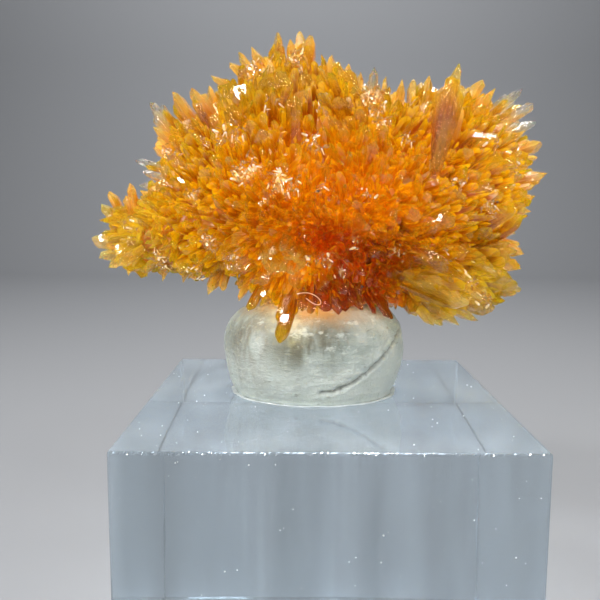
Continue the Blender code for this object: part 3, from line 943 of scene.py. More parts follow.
@dataclass(frozen=True)
class GrowthPlan:
    """How the cluster grew: the line it grew from and the surface that its tips reach."""

    line: tuple[Point, ...] = ((-27.0, 0.5, 23.0), (-10.5, 2.0, 26.0), (-2.0, 3.0, 22.5),
                               (10.7, 2.5, 27.5), (14.0, 1.0, 19.0))
    heart: Point = (0.0, 2.0, 24.0)
    stretch: Point = (26.0, 15.0, 18.0)
    eye: Point = (-3.2, -100.8, 26.9)
    lobes: tuple[Lobe, ...] = (
        Lobe((2.0, 1.0, 27.5), (25.6, 15.4), 16.8, 15.0),
        Lobe((-4.5, 1.5, 33.0), (14.6, 13.6), 16.6, 12.0),
        Lobe((16.0, 1.0, 31.0), (13.8, 14.0), 13.4, 12.6),
        Lobe((-26.6, 0.5, 23.2), (6.5, 6.6), 6.6, 6.2),
        Lobe((17.0, -1.5, 19.0), (10.8, 10.4), 7.0, 8.2),
        Lobe((-19.0, 1.0, 25.0), (9.5, 9.6), 8.2, 8.6),
        Lobe((-17.0, 1.0, 33.0), (7.2, 8.5), 8.6, 7.0),
        Lobe((-0.5, -2.6, 18.6), (13.4, 9.6), 7.0, 7.0),
    )
    farthest: float = 60.0
    fan_from: Point = (0.5, 0.0, 21.5)
    fan_depth: tuple[float, float] = (-7.5, 9.5)
    fan_reach: float = 17.0
    coarse: tuple[tuple[Point, float, float], ...] = (
        ((20.0, -7.0, 16.0), 11.0, 0.50), ((-28.0, -3.0, 22.0), 9.0, 0.35),
        ((-4.0, -9.0, 42.0), 11.0, 0.30), ((20.0, -9.0, 34.0), 10.0, 0.15),
        ((-14.0, -9.0, 20.0), 9.0, 0.30), ((0.0, -12.0, 24.0), 6.0, -0.12))

    def even_directions(self, count: int) -> np.ndarray:
        """Returns directions from the heart, spread evenly over a stretched ball.

        Args:
            count: How many.

        Returns:
            Rows of length one.
        """
        index = np.arange(count)
        z = 1.0 - (2.0 * index + 1.0) / count
        ring = np.sqrt(1.0 - z * z)
        turn = math.pi * (3.0 - math.sqrt(5.0)) * index
        ball = np.stack([ring * np.cos(turn), ring * np.sin(turn), z], axis=1)
        return unit(ball * np.array(self.stretch))

    def reach(self, directions: np.ndarray) -> np.ndarray:
        """Returns how far the lobes' joined surface lies from the heart.

        Args:
            directions: Rows of length one.

        Returns:
            One distance a row, in millimetres.
        """
        low = np.zeros(len(directions))
        high = np.full(len(directions), self.farthest)
        for _ in range(24):
            middle = (low + high) / 2
            places = np.array(self.heart) + directions * middle[:, None]
            inside = np.min([lobe.depth(places) for lobe in self.lobes], axis=0) < 1.0
            low = np.where(inside, middle, low)
            high = np.where(inside, high, middle)
        return low

    def away(self, places: np.ndarray) -> np.ndarray:
        """Returns the direction away from the growth line at each place."""
        return unit(off_path(places, self.line))

    def sizes(self, places: np.ndarray) -> np.ndarray:
        """Returns how many times their usual size crystals have at each place.

        Args:
            places: Rows in millimetres.

        Returns:
            One number a row.
        """
        result = np.ones(len(places))
        for centre, reach, more in self.coarse:
            away = np.linalg.norm(places - np.array(centre), axis=1) / reach
            result += more * np.clip(1.0 - away ** 2, 0.0, 1.0)
        return result

    def fan(self, places: np.ndarray) -> tuple[np.ndarray, np.ndarray]:
        """Returns how crystals fan out from the heart in the front view.

        Args:
            places: Rows of places in millimetres.

        Returns:
            The direction at each place, and its share, which is small over the heart itself.
        """
        source = np.tile(np.array(self.fan_from), (len(places), 1))
        source[:, 1] = np.clip(places[:, 1], *self.fan_depth)
        offset = places - source
        share = np.clip(np.linalg.norm(offset, axis=1) / self.fan_reach, 0.0, 1.0)
        return unit(offset), share

    def seen(self, x: float, z: float, y: float) -> np.ndarray:
        """Slides a place read in the front view along its line of sight to depth y.

        Args:
            x: Its place across, in millimetres.
            z: Its height over the block's top.
            y: The depth to slide to.

        Returns:
            The place as (x, y, height).
        """
        share = (y - self.eye[1]) / -self.eye[1]
        return np.array((self.eye[0] + (x - self.eye[0]) * share, y,
                         self.eye[2] + (z - self.eye[2]) * share))


@dataclass
class Cluster:
    """The creedite: blades over small crystals over a grown-together mass."""

    plan: GrowthPlan = GrowthPlan()
    seed: int = 11
    spacing: float = 1.6
    width: tuple[float, float] = (0.8, 2.8)
    slender: float = 1.4
    length: tuple[float, float] = (6.0, 11.0)
    rim_wider: float = 1.22
    large: float = 2.6
    straw: tuple[Colour, Colour, Colour] = ((0.86, 0.72, 0.30), (0.79, 0.57, 0.10),
                                            (0.68, 0.44, 0.03))
    small_spacing: float = 1.08
    small_width: tuple[float, float] = (0.7, 1.5)
    small_length: tuple[float, float] = (3.5, 5.5)
    trials: int = 22000
    rim_middle: float = 1.0
    rim_half_depth: float = 4.2
    rim_step: float = 0.618
    rim_pitch: float = 3.2
    sprays: int = 70
    spray_depth: float = 11.0
    spray_share: float = 0.40
    sway: float = 0.21
    loose: float = 0.4
    loose_fan: float = 0.3
    outward: tuple[float, float] = (0.95, 0.42)
    least_rise: float = 0.5
    rise_gain: float = 1.3
    sway_range: tuple[float, float] = (1.6, 0.6)
    root_sway: float = 0.12
    trial_sway: float = 0.006
    swell: float = 1.2
    swell_grain: float = 4.5
    blade_depth: tuple[float, float] = (0.3, 3.0)
    small_depth: tuple[float, float] = (1.6, 4.2)
    sparkle_depth: tuple[float, float] = (0.2, 1.0)
    lesser: int = 4
    lesser_back: tuple[float, float] = (1.2, 3.8)
    lesser_aside: tuple[float, float] = (0.5, 1.8)
    lesser_tilt: tuple[float, float] = (0.02, 0.16)
    lesser_width: tuple[float, float] = (0.5, 0.9)
    lesser_length: float = 0.8
    sparkle_front: float = -2.0
    sparkle_strew: float = 0.3
    sparkle_tilt: float = 0.7
    sparkle_width: tuple[float, float] = (0.16, 0.42)
    sparkle_length: tuple[float, float] = (0.6, 1.1)
    # The share of tiny crystals made whitish, as painted glints.
    frost_glint_share: float = 0.2
    drops: tuple[float, float, float] = (-6.2, 19.6, 2.0)
    drop_spread: float = 1.6
    drop_hang: Point = (0.0, -0.4, -0.9)
    drop_out: float = 0.7
    drop_width: tuple[float, float] = (1.0, 1.7)
    drop_length: tuple[float, float] = (2.6, 3.8)
    draw: random.Random = field(init=False)
    rows: np.random.Generator = field(init=False)
    forms: list[CrystalForm] = field(init=False)
    spray_roots: np.ndarray = field(init=False)
    open_lines: list[np.ndarray] = field(init=False, default_factory=list)
    tips: np.ndarray = field(init=False)
    box: list[np.ndarray] = field(init=False)
    putty_centre: tuple[float, float] = (-1.3, 3.6)
    putty_reach: tuple[float, float] = (12.6, 10.4)
    bed_height: float = 16.0
    bed_share: float = 0.62
    bed_rim: tuple[float, float] = (0.60, 0.78)
    bed_lift: float = 0.4
    mass_depth: tuple[float, float] = (4.8, 6.4)
    mass_grain: float = 14.0
    margin: float = 0.25
    blade_forms: int = 10
    prism_forms: int = 8

    def __post_init__(self) -> None:
        """Cuts the forms and sets out the sprays."""
        self.draw = random.Random(self.seed)
        self.rows = np.random.default_rng(self.seed)
        self.forms = [CrystalForm.grow(Habit.BLADE, self.draw) for _ in range(self.blade_forms)]
        self.forms += [CrystalForm.grow(Habit.PRISM, self.draw) for _ in range(self.prism_forms)]
        spread = self.plan.even_directions(self.sprays)
        spread = unit(spread + self.rows.normal(0.0, self.root_sway, spread.shape))
        surface = np.array(self.plan.heart) + spread * self.plan.reach(spread)[:, None]
        self.spray_roots = surface - self.plan.away(surface) * self.spray_depth
        self.box = [np.array(corner) / MM - (0, 0, BLOCK_HEIGHT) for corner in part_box("creedite")]

    def surface(self, depths: tuple[float, float]) -> tuple[np.ndarray, np.ndarray]:
        """Returns places a little under the tips' surface and the directions of growth there.

        Args:
            depths: The least and the greatest depth in millimetres.

        Returns:
            Places and directions, one row each.
        """
        out = self.plan.even_directions(self.trials)
        out = unit(out + self.rows.normal(0.0, self.trial_sway, out.shape))
        reach = self.plan.reach(out)
        swell = lumps(out, self.swell_grain) * self.swell
        depth = self.rows.uniform(*depths, len(out)) + np.maximum(swell, 0.0)
        places = np.array(self.plan.heart) + out * (reach - depth)[:, None]
        gap = places[:, None] - self.spray_roots[None]
        nearest = np.argmin(np.linalg.norm(gap, axis=2), axis=1)
        spray = unit(places - self.spray_roots[nearest])
        fan, share = self.plan.fan(places)
        loose = self.rows.random(len(places)) < self.loose
        share = np.where(loose, share * self.loose_fan, share)[:, None]
        away = self.plan.away(places)
        outward = away * np.where(loose, *self.outward)[:, None]
        most, less = self.sway_range
        sway = self.rows.normal(0.0, self.sway, places.shape) * (most - share * less)
        aims = unit(outward + spray * self.spray_share + fan * share + sway)
        lean = np.sum(aims * away, axis=1, keepdims=True)
        aims = unit(aims + away * np.maximum(self.least_rise - lean, 0.0) * self.rise_gain)
        bed = np.linalg.norm((places[:, :2] - self.putty_centre) / self.putty_reach, axis=1)
        keep = (bed >= self.bed_share) | (places[:, 2] >= self.bed_height)
        return places[keep], aims[keep]

    def spaced(self, places: np.ndarray, spacing: float, taken: Sequence[np.ndarray]) -> list[int]:
        """Picks places that are no nearer to each other than a spacing.

        Args:
            places: All places, as rows.
            spacing: The least distance in millimetres, where crystals have their usual size.
            taken: Places that are in use already.

        Returns:
            The numbers of the picked places.
        """
        gaps = spacing * self.plan.sizes(places)
        spacing = float(gaps.max())
        cells: dict[tuple[int, ...], list[np.ndarray]] = {}
        for row in taken:
            cells.setdefault(tuple((row // spacing).astype(int)), []).append(row)
        near = [(i, j, k) for i in (-1, 0, 1) for j in (-1, 0, 1) for k in (-1, 0, 1)]
        picked = []
        for index in self.rows.permutation(len(places)):
            row = places[index]
            cell = tuple((row // spacing).astype(int))
            others = [other for step in near
                      for other in cells.get(tuple(a + b for a, b in zip(cell, step)), ())]
            if others and np.min(np.linalg.norm(np.array(others) - row, axis=1)) < gaps[index]:
                continue
            cells.setdefault(cell, []).append(row)
            picked.append(int(index))
        return picked

    def outline(self, crystals: CrystalSet) -> None:
        """Adds the outline blades with the lesser blades that lean on them.

        Args:
            crystals: The set that they go in.
        """
        draw = self.draw
        for index, item in enumerate(OUTLINE):
            offset = self.rim_half_depth * (2.0 * math.fmod(index * self.rim_step, 1.0) - 1.0)
            y = self.rim_middle + offset if item.y is None else item.y
            turn = offset * self.rim_pitch if item.y is None else item.pitch
            lean, pitch = math.radians(item.lean), math.radians(turn)
            tip = self.plan.seen(item.x, item.z, y)
            aim = np.array((math.sin(lean) * math.cos(pitch), math.sin(pitch),
                            math.cos(lean) * math.cos(pitch)))
            if item.y is not None and item.width > self.large:
                self.open_lines += [tip - aim * step for step in range(1, int(item.length * 0.8))]
            crystals.add(tip, aim, item.width * self.rim_wider, item.length, draw.uniform(0.5, 0.8),
                         draw.uniform(-0.6, 0.6), draw.randrange(self.blade_forms),
                         draw.random(), item.paint)
            for _ in range(self.lesser):
                slide = unit(np.cross(aim, self.rows.normal(size=3)))
                start = (tip - aim * draw.uniform(*self.lesser_back)
                         + slide * draw.uniform(*self.lesser_aside))
                tilt = unit(aim + slide * draw.uniform(*self.lesser_tilt))
                crystals.add(start, tilt, item.width * draw.uniform(*self.lesser_width),
                             item.length * self.lesser_length, draw.uniform(0.5, 0.85),
                             draw.uniform(0.0, math.tau), draw.randrange(self.blade_forms),
                             draw.random(),
                             item.paint if draw.random() < 0.5 else BladeFinish.GOLD)

    def blades(self) -> bpy.types.Object:
        """Builds the blades that stand highest.

        Returns:
            The new piece.
        """
        crystals = CrystalSet()
        self.outline(crystals)
        places, aims = self.surface(self.blade_depth)
        sizes = self.plan.sizes(places)
        draw = self.draw
        for index in self.spaced(places, self.spacing, crystals.tips + self.open_lines):
            least, most = self.width
            width = (least + (most - least) * draw.random() ** self.slender) * sizes[index]
            crystals.add(places[index], aims[index], width,
                         draw.uniform(*self.length), draw.uniform(0.45, 0.85),
                         draw.uniform(0.0, math.tau), draw.randrange(len(self.forms)),
                         draw.random())
        self.hold_inside(crystals)
        # The root colours are dark partly as painted shade between the blades.
        paints = [CreediteFinish("creedite_gold", (0.86, 0.64, 0.022), (0.70, 0.42, 0.002),
                                 (0.38, 0.12, 0.001), 0.82).make(),
                  CreediteFinish("creedite_clear", (0.78, 0.79, 0.78), (0.80, 0.78, 0.70),
                                 (0.90, 0.60, 0.14), 0.92, zoned=False,
                                 rough=(0.02, 0.12)).make(),
                  CreediteFinish("creedite_straw", *self.straw, 0.80, zoned=False).make(),
                  CreediteFinish("creedite_rim", (0.93, 0.68, 0.20), (0.85, 0.50, 0.03),
                                 (0.56, 0.22, 0.002), 0.70, zoned=False).make()]
        self.tips = np.array(crystals.tips)
        return crystals.build("creedite_blades", self.forms, paints)

    def small_crystals(self) -> bpy.types.Object:
        """Builds the small crystals that fill the ground between the blades.

        Returns:
            The new piece.
        """
        crystals = CrystalSet()
        places, aims = self.surface(self.small_depth)
        sizes = self.plan.sizes(places)
        draw = self.draw
        for index in self.spaced(places, self.small_spacing, self.open_lines):
            crystals.add(places[index], aims[index], draw.uniform(*self.small_width) * sizes[index],
                         draw.uniform(*self.small_length), draw.uniform(0.5, 0.9),
                         draw.uniform(0.0, math.tau),
                         self.blade_forms + draw.randrange(self.prism_forms), draw.random())
        self.hold_inside(crystals)
        # The dark root colour is partly painted shade between the crystals.
        paint = CreediteFinish("creedite_orange", (0.74, 0.45, 0.003), (0.58, 0.27, 0.001),
                               (0.27, 0.055, 0.001), 0.55).make()
        return crystals.build("creedite_small_crystals", self.forms, [paint])

    def in_front(self, places: np.ndarray) -> np.ndarray:
        """Returns where the camera sees places in the front view.

        Args:
            places: Rows in millimetres.

        Returns:
            One (x, height) a row.
        """
        eye = np.array(self.plan.eye)
        share = (places[:, 1:2] - eye[1]) / -eye[1]
        return eye[[0, 2]] + (places[:, [0, 2]] - eye[[0, 2]]) / share

    def sparkles(self) -> bpy.types.Object:
        """Builds the patches of tiny clear crystals and the drop-shaped ones under the heart.

        Returns:
            The new piece.
        """
        crystals = CrystalSet()
        draw = self.draw
        places, aims = self.surface(self.sparkle_depth)
        front = places[:, 1] < self.sparkle_front
        places, aims = places[front], aims[front]
        seen = self.in_front(places)
        for x, z, reach, density in SPARKLES:
            near = np.nonzero(np.hypot(seen[:, 0] - x, seen[:, 1] - z) < reach)[0]
            for index in near[::2]:
                for _ in range(density):
                    shift = self.rows.normal(0.0, self.sparkle_strew, 3)
                    aim = unit(aims[index] + self.rows.normal(0.0, self.sparkle_tilt, 3))
                    crystals.add(places[index] + shift, aim, draw.uniform(*self.sparkle_width),
                                 draw.uniform(*self.sparkle_length), draw.uniform(0.6, 1.0),
                                 draw.uniform(0.0, math.tau), draw.randrange(self.blade_forms),
                                 draw.random(), SparkleFinish.FROST
                                 if draw.random() < self.frost_glint_share else SparkleFinish.BRIGHT)
        x, z, reach = self.drops
        near = np.nonzero(np.hypot((seen[:, 0] - x) / self.drop_spread, seen[:, 1] - z)
                          < reach)[0]
        for index in near[::3]:
            aim = unit(aims[index] + np.array(self.drop_hang))
            crystals.add(places[index] + aim * self.drop_out, aim, draw.uniform(*self.drop_width),
                         draw.uniform(*self.drop_length), draw.uniform(0.7, 0.95),
                         draw.uniform(0.0, math.tau),
                         self.blade_forms + draw.randrange(self.prism_forms), draw.random(),
                         SparkleFinish.DROP)
        self.hold_inside(crystals)
        glassy = {"zoned": False, "rough": (0.01, 0.06), "coat_ior": 2.0}
        paints = [CreediteFinish("creedite_sparkle", (0.90, 0.84, 0.72), (0.86, 0.68, 0.36),
                                 (0.78, 0.44, 0.06), 0.9, **glassy).make(),
                  CreediteFinish("creedite_drop", (0.82, 0.60, 0.16), (0.72, 0.44, 0.04),
                                 (0.56, 0.26, 0.004), 0.85, zoned=False).make(),
                  # Partly white crystal, partly painted glints: whitish frost that shows white
                  # under any lamp.
                  CreediteFinish("creedite_frost_glint", (0.92, 0.90, 0.88), (0.90, 0.84, 0.76),
                                 (0.84, 0.62, 0.34), 0.35, **glassy).make()]
        return crystals.build("creedite_sparkles", self.forms, paints)

    def hold_inside(self, crystals: CrystalSet) -> None:
        """Draws any tip back that stands outside the solid's box.

        Args:
            crystals: The set to hold in.
        """
        low, high = self.box
        for index, tip in enumerate(crystals.tips):
            crystals.tips[index] = np.clip(tip, low + self.margin, high - self.margin)

    def mass(self) -> bpy.types.Object:
        """Builds the grown-together mass that the crystals stand on.

        Returns:
            The new piece.
        """
        shape = bmesh.new()
        bmesh.ops.create_icosphere(shape, subdivisions=6, radius=1.0)
        out = unit(np.array([vert.co[:] for vert in shape.verts]) * np.array(self.plan.stretch))
        reach = self.plan.reach(out)
        top = np.array(self.plan.heart) + out * reach[:, None]
        middle = sum(self.mass_depth) / 2
        sway = self.mass_depth[1] - self.mass_depth[0]
        rough = lumps(out, self.mass_grain)
        offset = (top[:, :2] - self.putty_centre) / self.putty_reach
        inner, outer = self.bed_rim
        open_share = np.clip((np.linalg.norm(offset, axis=1) - inner) / (outer - inner), 0.0, 1.0)
        open_share = np.where(top[:, 2] < self.bed_height, open_share, 1.0)
        depth = (middle + sway * rough + self.bed_lift) * open_share - self.bed_lift
        points = to_metres(np.array(self.plan.heart) + out * (reach - depth)[:, None])
        for vert, point in zip(shape.verts, points):
            vert.co = point
        return object_from("creedite_mass", shape, True, MassFinish().make())

    def make(self) -> list[bpy.types.Object]:
        """Builds the cluster's pieces and ties them to the frame.

        Returns:
            The four pieces.
        """
        pieces = [self.blades(), self.small_crystals(), self.sparkles(), self.mass()]
        for piece in pieces[:3]:
            piece.visible_shadow = False
        for piece in pieces:
            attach(piece, "root")
            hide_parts("creedite")
        return pieces


# What carries the cluster

@dataclass
class Putty:
    """The pressed ball of mineral putty, with its fold and finger marks."""

    centre: tuple[float, float] = (-1.3, 3.6)
    half_width: float = 13.4
    half_depth: float = 11.0
    height: float = 14.3
    profile: tuple[tuple[float, float], ...] = (
        (0.865, 0.0), (0.87, 0.012), (0.865, 0.03), (0.90, 0.06), (0.93, 0.14), (0.97, 0.28),
        (1.0, 0.45), (0.99, 0.60), (0.94, 0.73), (0.84, 0.84), (0.68, 0.92), (0.42, 0.975),
        (0.0, 1.0))
    crease: tuple[tuple[float, float], ...] = (
        (10.9, 9.7), (9.6, 7.9), (8.2, 6.4), (6.6, 5.1), (4.8, 3.8), (3.2, 2.9), (1.2, 2.1),
        (-0.6, 1.9))
    ridges: tuple[tuple[tuple[float, float], ...], ...] = (
        ((7.4, 6.9), (5.6, 6.5), (4.0, 6.3)), ((4.4, 4.6), (1.6, 3.4), (-2.6, 2.9)),
        ((6.6, 6.0), (4.2, 5.0), (2.0, 4.2)))
    film_section: tuple[tuple[float, float], ...] = (
        (0.84, 0.004), (0.84, 0.06), (0.895, 0.05), (0.915, 0.03), (0.92, 0.004))
    film_turns: int = 130
    film_wave: float = 0.035
    turns: int = 260
    rings: int = 96
    seed: int = 4
    wander: float = 0.3
    fold_width: float = 0.22
    fold_depth: float = 0.36
    lip_aside: float = 0.6
    lip_width: float = 0.3
    lip_height: float = 0.09
    ridge_width: float = 0.5
    ridge_height: float = 0.12
    dents: tuple[tuple[Point, float], ...] = (
        ((1 / 7, 1 / 7, 1 / 7), 0.35), ((0.5, 0.5, 0.22), 0.10), ((1.3, 1.3, 1.3), 0.035))
    plain_foot: float = 1.2

    @staticmethod
    def mark(seen: np.ndarray, path: Sequence[tuple[float, float]], width: float,
             aside: float = 0.0) -> np.ndarray:
        """Returns how much of a soft line along a path there is at each place.

        Args:
            seen: Rows of (x, height) in millimetres in the front view.
            path: The path's corners.
            width: The line's half width.
            aside: How far beside the path it runs.

        Returns:
            One share a row, 1 on the line.
        """
        distance = np.linalg.norm(off_path(seen, path), axis=1)
        return np.exp(-((distance - aside) / width) ** 2)

    def turned(self, profile: Sequence[Point], closed: bool, steps: int,
               weld: float) -> bmesh.types.BMesh:
        """Turns a profile round the ball's upright line and presses it to the ball's oval.

        Args:
            profile: Points in the XZ plane, in millimetres.
            closed: Whether its last point joins its first.
            steps: How many steps the turn has.
            weld: How near two points are joined.

        Returns:
            The bmesh, still centred.
        """
        shape = bmesh.new()
        ring = [shape.verts.new(point) for point in profile]
        edges = [shape.edges.new(pair) for pair in zip(ring, ring[1:] + ring[:int(closed)])]
        bmesh.ops.spin(shape, geom=ring + edges, cent=(0, 0, 0), axis=(0, 0, 1), angle=math.tau,
                       steps=steps, use_merge=True, use_duplicate=False)
        bmesh.ops.remove_doubles(shape, verts=shape.verts, dist=weld)
        bmesh.ops.scale(shape, vec=(1.0, self.half_depth / self.half_width, 1.0), verts=shape.verts)
        return shape

    def outline(self) -> list[Point]:
        """Spreads the profile evenly.

        Returns:
            Points in the XZ plane, foot to top, in millimetres.
        """
        rows = np.array(self.profile) * (self.half_width, self.height)
        walk = np.concatenate(([0.0], np.cumsum(np.linalg.norm(np.diff(rows, axis=0), axis=1))))
        even = np.linspace(0.0, walk[-1], self.rings)
        radii = np.interp(even, walk, rows[:, 0])
        heights = np.interp(even, walk, rows[:, 1])
        for _ in range(3):
            radii[4:-1] = (radii[3:-2] + radii[4:-1] + radii[5:]) / 3
            heights[4:-1] = (heights[3:-2] + heights[4:-1] + heights[5:]) / 3
        return [(0.0, 0.0, 0.0)] + [(r, 0.0, h) for r, h in zip(radii, heights)]

    def film(self) -> bpy.types.Object:
        """Builds the thin smear that the putty left round its foot.

        Returns:
            The new piece.
        """
        section = [(share * self.half_width, 0.0, height) for share, height in self.film_section]
        shape = self.turned(section, True, self.film_turns, 0.001)
        for vert in shape.verts:
            x, y, _ = vert.co
            spread = 1.0 + self.film_wave * noise.noise(Vector((x * 0.35, y * 0.35, 2.0)))
            vert.co.x *= spread
            vert.co.y *= spread
        bmesh.ops.translate(shape, vec=(*self.centre, 0.0), verts=shape.verts)
        settle(shape)
        bmesh.ops.recalc_face_normals(shape, faces=shape.faces)
        finish = PlainFinish("putty_film", (0.62, 0.68, 0.70), (0.82, 0.86, 0.86), 0.12, 700.0)
        thing = object_from("putty_film", shape, True, finish.make())
        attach(thing, "root")
        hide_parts("putty")
        return thing

    def make(self) -> bpy.types.Object:
        """Builds the ball and ties it to the frame.

        Returns:
            The new piece.
        """
        shape = self.turned(self.outline(), False, self.turns, 0.002)
        bmesh.ops.translate(shape, vec=(*self.centre, 0.0), verts=shape.verts)
        bmesh.ops.recalc_face_normals(shape, faces=shape.faces)
        shape.normal_update()
        points = np.array([vert.co[:] for vert in shape.verts])
        normals = np.array([vert.normal[:] for vert in shape.verts])
        seen = points[:, (0, 2)]
        noise.seed_set(self.seed)
        wander = np.array([noise.noise_vector(Vector(row) * 1.6)[:] for row in points])
        seen = seen + wander[:, (0, 2)] * self.wander
        front = points[:, 1] < self.centre[1]
        fold = self.mark(seen, self.crease, self.fold_width) * front
        lip = self.mark(seen, self.crease, self.lip_width, self.lip_aside) * front
        lift = self.lip_height * lip - self.fold_depth * fold
        for path in self.ridges:
            lift += self.mark(seen, path, self.ridge_width) * self.ridge_height * front
        for scale, height in self.dents:
            lift += lumps(points * np.array(scale)) * height
        plain = np.clip(points[:, 2] / self.plain_foot, 0.0, 1.0)
        points += normals * (lift * plain)[:, None]
        points[:, 2] = np.maximum(points[:, 2], 0.0)
        for vert, point in zip(shape.verts, to_metres(points)):
            vert.co = point
        thing = object_from("putty_ball", shape, True, PuttyFinish().make())
        marks = thing.data.attributes.new("crease", "FLOAT", "POINT")
        marks.data.foreach_set("value", np.clip(fold, 0.0, 1.0))
        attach(thing, "root")
        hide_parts("putty")
        return thing


@dataclass
class DisplayBlock:
    """The clear block, its edges finely chamfered and the front top one chipped."""

    side: float = BLOCK_SIDE
    height: float = BLOCK_HEIGHT
    chamfer: float = 0.3
    edge_cuts: int = 260
    bite: float = 0.22
    least_wear: float = 0.35
    worn: tuple[float, float] = (-8.0, 10.0)
    chips: tuple[tuple[Point, float, float], ...] = (
        ((2.6, 3.1, 2.0), 0.05, 1.0), ((5.5, 8.4, 5.0), 0.0, 0.7))
    deepest: float = 0.9

    def make(self) -> bpy.types.Object:
        """Builds the block and ties it to the frame.

        Returns:
            The new piece.
        """
        shape = bmesh.new()
        bmesh.ops.create_cube(shape, size=1.0)
        bmesh.ops.scale(shape, vec=(self.side, self.side, self.height), verts=shape.verts)
        bmesh.ops.translate(shape, vec=(0, 0, -self.height / 2), verts=shape.verts)
        bmesh.ops.bevel(shape, geom=shape.edges[:], offset=self.chamfer, segments=2, profile=0.5,
                        affect="EDGES", material=-1)
        front, near = -self.side / 2, self.chamfer * 1.01
        long_edges = [edge for edge in shape.edges
                      if all(vert.co.y < front + near and vert.co.z > -near for vert in edge.verts)
                      and edge.calc_length() > self.side / 2]
        bmesh.ops.subdivide_edges(shape, edges=long_edges, cuts=self.edge_cuts, use_grid_fill=True)
        for vert in shape.verts:
            x, y, z = vert.co
            if y > front + near or z < -near or abs(x) > self.side / 2 - 2 * near:
                continue
            worn = max(0.0, min(1.0, (self.worn[0] - x) / self.worn[1]))
            worn = self.least_wear + (1.0 - self.least_wear) * worn
            chip = sum(max(0.0, noise.noise(Vector((x * across, layer, z * down))) - least) * share
                       for (across, layer, down), least, share in self.chips) * worn * self.bite
            vert.co.y = max(vert.co.y, min(vert.co.y + chip * (z > -near * 0.98),
                                           front + self.deepest))
            vert.co.z = vert.co.z - chip * (y < front + near * 0.98)
        settle(shape)
        bmesh.ops.recalc_face_normals(shape, faces=shape.faces)
        thing = object_from("display_block", shape, False, AcrylicFinish().make())
        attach(thing, "root")
        thing.visible_shadow = False
        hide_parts("acrylic_block")
        return thing


@dataclass
class Dust:
    """White specks on the block, dark specks on the crystals and one fibre.

    It holds the crystals' tips in millimetres and where the front view shows them.
    """

    plan: GrowthPlan
    tips: np.ndarray
    seen: np.ndarray
    seed: int = 5
    top_count: int = 110
    front_count: int = 80
    grains: tuple[tuple[float, float], ...] = (
        (22.0, 23.1), (22.6, 23.1), (24.4, 28.2), (16.9, 38.4), (-1.0, 29.6), (5.4, 16.0))
    thread: tuple[tuple[float, float], ...] = (
        (-3.9, 14.9), (-2.9, 15.2), (-1.7, 15.0), (-0.7, 14.3), (-0.3, 13.5), (-1.0, 13.2),
        (-1.9, 13.7), (-2.6, 14.3))
    thread_radius: float = 0.04

    @staticmethod
    def speck(joined: bmesh.types.BMesh, draw: random.Random, place: Vector, radius: float,
              finer: int, least: float) -> None:
        """Adds one uneven speck.

        Args:
            joined: The bmesh it goes in.
            draw: The source of its odd numbers.
            place: Its middle.
            radius: Its size.
            finer: How finely it is cut.
            least: The share of its size that its deepest dents leave.
        """
        made = bmesh.ops.create_icosphere(joined, subdivisions=finer, radius=radius)
        for vert in made["verts"]:
            vert.co = vert.co * draw.uniform(least, 1.1) + place

    def specks(self) -> bpy.types.Object:
        """Builds the white specks on the block's top and front.

        Returns:
            The new piece.
        """
        draw = random.Random(self.seed)
        joined = bmesh.new()
        half = BLOCK_SIDE / 2
        for index in range(self.top_count + self.front_count):
            size = 0.035 + 0.09 * draw.random() ** 3
            x = draw.uniform(-half + 0.5, half - 0.5)
            if index < self.top_count:
                place = Vector((x, draw.uniform(-half + 0.6, half - 0.6), size * 0.3))
            else:
                place = Vector((x, -half - size * 0.3, -draw.random() ** 1.7 * 30.0 - 0.6))
            self.speck(joined, draw, place, size, 1, 0.6)
        settle(joined)
        finish = PlainFinish("pale_dust", (0.85, 0.86, 0.86), (0.7, 0.7, 0.68), 0.6)
        thing = object_from("dust_specks", joined, False, finish.make())
        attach(thing, "root")
        return thing

    def dark_specks(self) -> bpy.types.Object:
        """Builds the tiny dark grains that lie on the right dome.

        Returns:
            The new piece.
        """
        draw = random.Random(self.seed + 1)
        joined = bmesh.new()
        for x, z in self.grains:
            self.speck(joined, draw, Vector(self.rest(x, z)), draw.uniform(0.13, 0.22), 2, 0.75)
        settle(joined)
        finish = PlainFinish("dark_grain", (0.02, 0.015, 0.012), (0.06, 0.03, 0.02), 0.5)
        thing = object_from("dark_grains", joined, True, finish.make())
        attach(thing, "root")
        return thing

    def rest(self, x: float, z: float) -> Point:
        """Finds where the crystals' tips lie behind a place in the front view.

        Args:
            x: The place across, in millimetres.
            z: The height over the block's top.

        Returns:
            The place as (x, y, height).
        """
        away = np.hypot(self.seen[:, 0] - x, self.seen[:, 1] - z)
        near = self.tips[away < 1.1]
        depth = float(near[:, 1].min()) if len(near) else -8.0
        return tuple(self.plan.seen(x, z, depth - 0.15))

    def fibre(self) -> bpy.types.Object:
        """Builds the fine pale fibre that lies in front of the lower crystals.

        Returns:
            The new piece.
        """
        nearest = min(self.rest(x, z)[1] for x, z in self.thread)
        places = [Vector(self.plan.seen(x, z, nearest)) for x, z in self.thread]
        line = bpy.data.curves.new("lint_fibre", "CURVE")
        line.dimensions = "3D"
        line.bevel_depth = self.thread_radius * MM
        line.bevel_resolution = 2
        line.use_fill_caps = True
        spline = line.splines.new("NURBS")
        spline.points.add(len(places) - 1)
        spline.use_endpoint_u = True
        spline.order_u = 4
        for point, place in zip(spline.points, places):
            row = to_metres(np.array(place))
            point.co = (*row, 1.0)
        drawn = bpy.data.objects.new("lint_path", line)
        bpy.context.scene.collection.objects.link(drawn)
        solid = drawn.evaluated_get(bpy.context.evaluated_depsgraph_get())
        mesh = bpy.data.meshes.new_from_object(solid)
        bpy.data.objects.remove(drawn)
        thing = add_object("lint_fibre", mesh)
        mesh.materials.clear()
        mesh.materials.append(
            PlainFinish("pale_lint", (0.85, 0.66, 0.42), (0.75, 0.50, 0.28), 0.5).make())
        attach(thing, "root")
        return thing

    def make(self) -> list[bpy.types.Object]:
        """Builds the specks, the grains and the fibre."""
        return [self.specks(), self.dark_specks(), self.fibre()]


# Studio

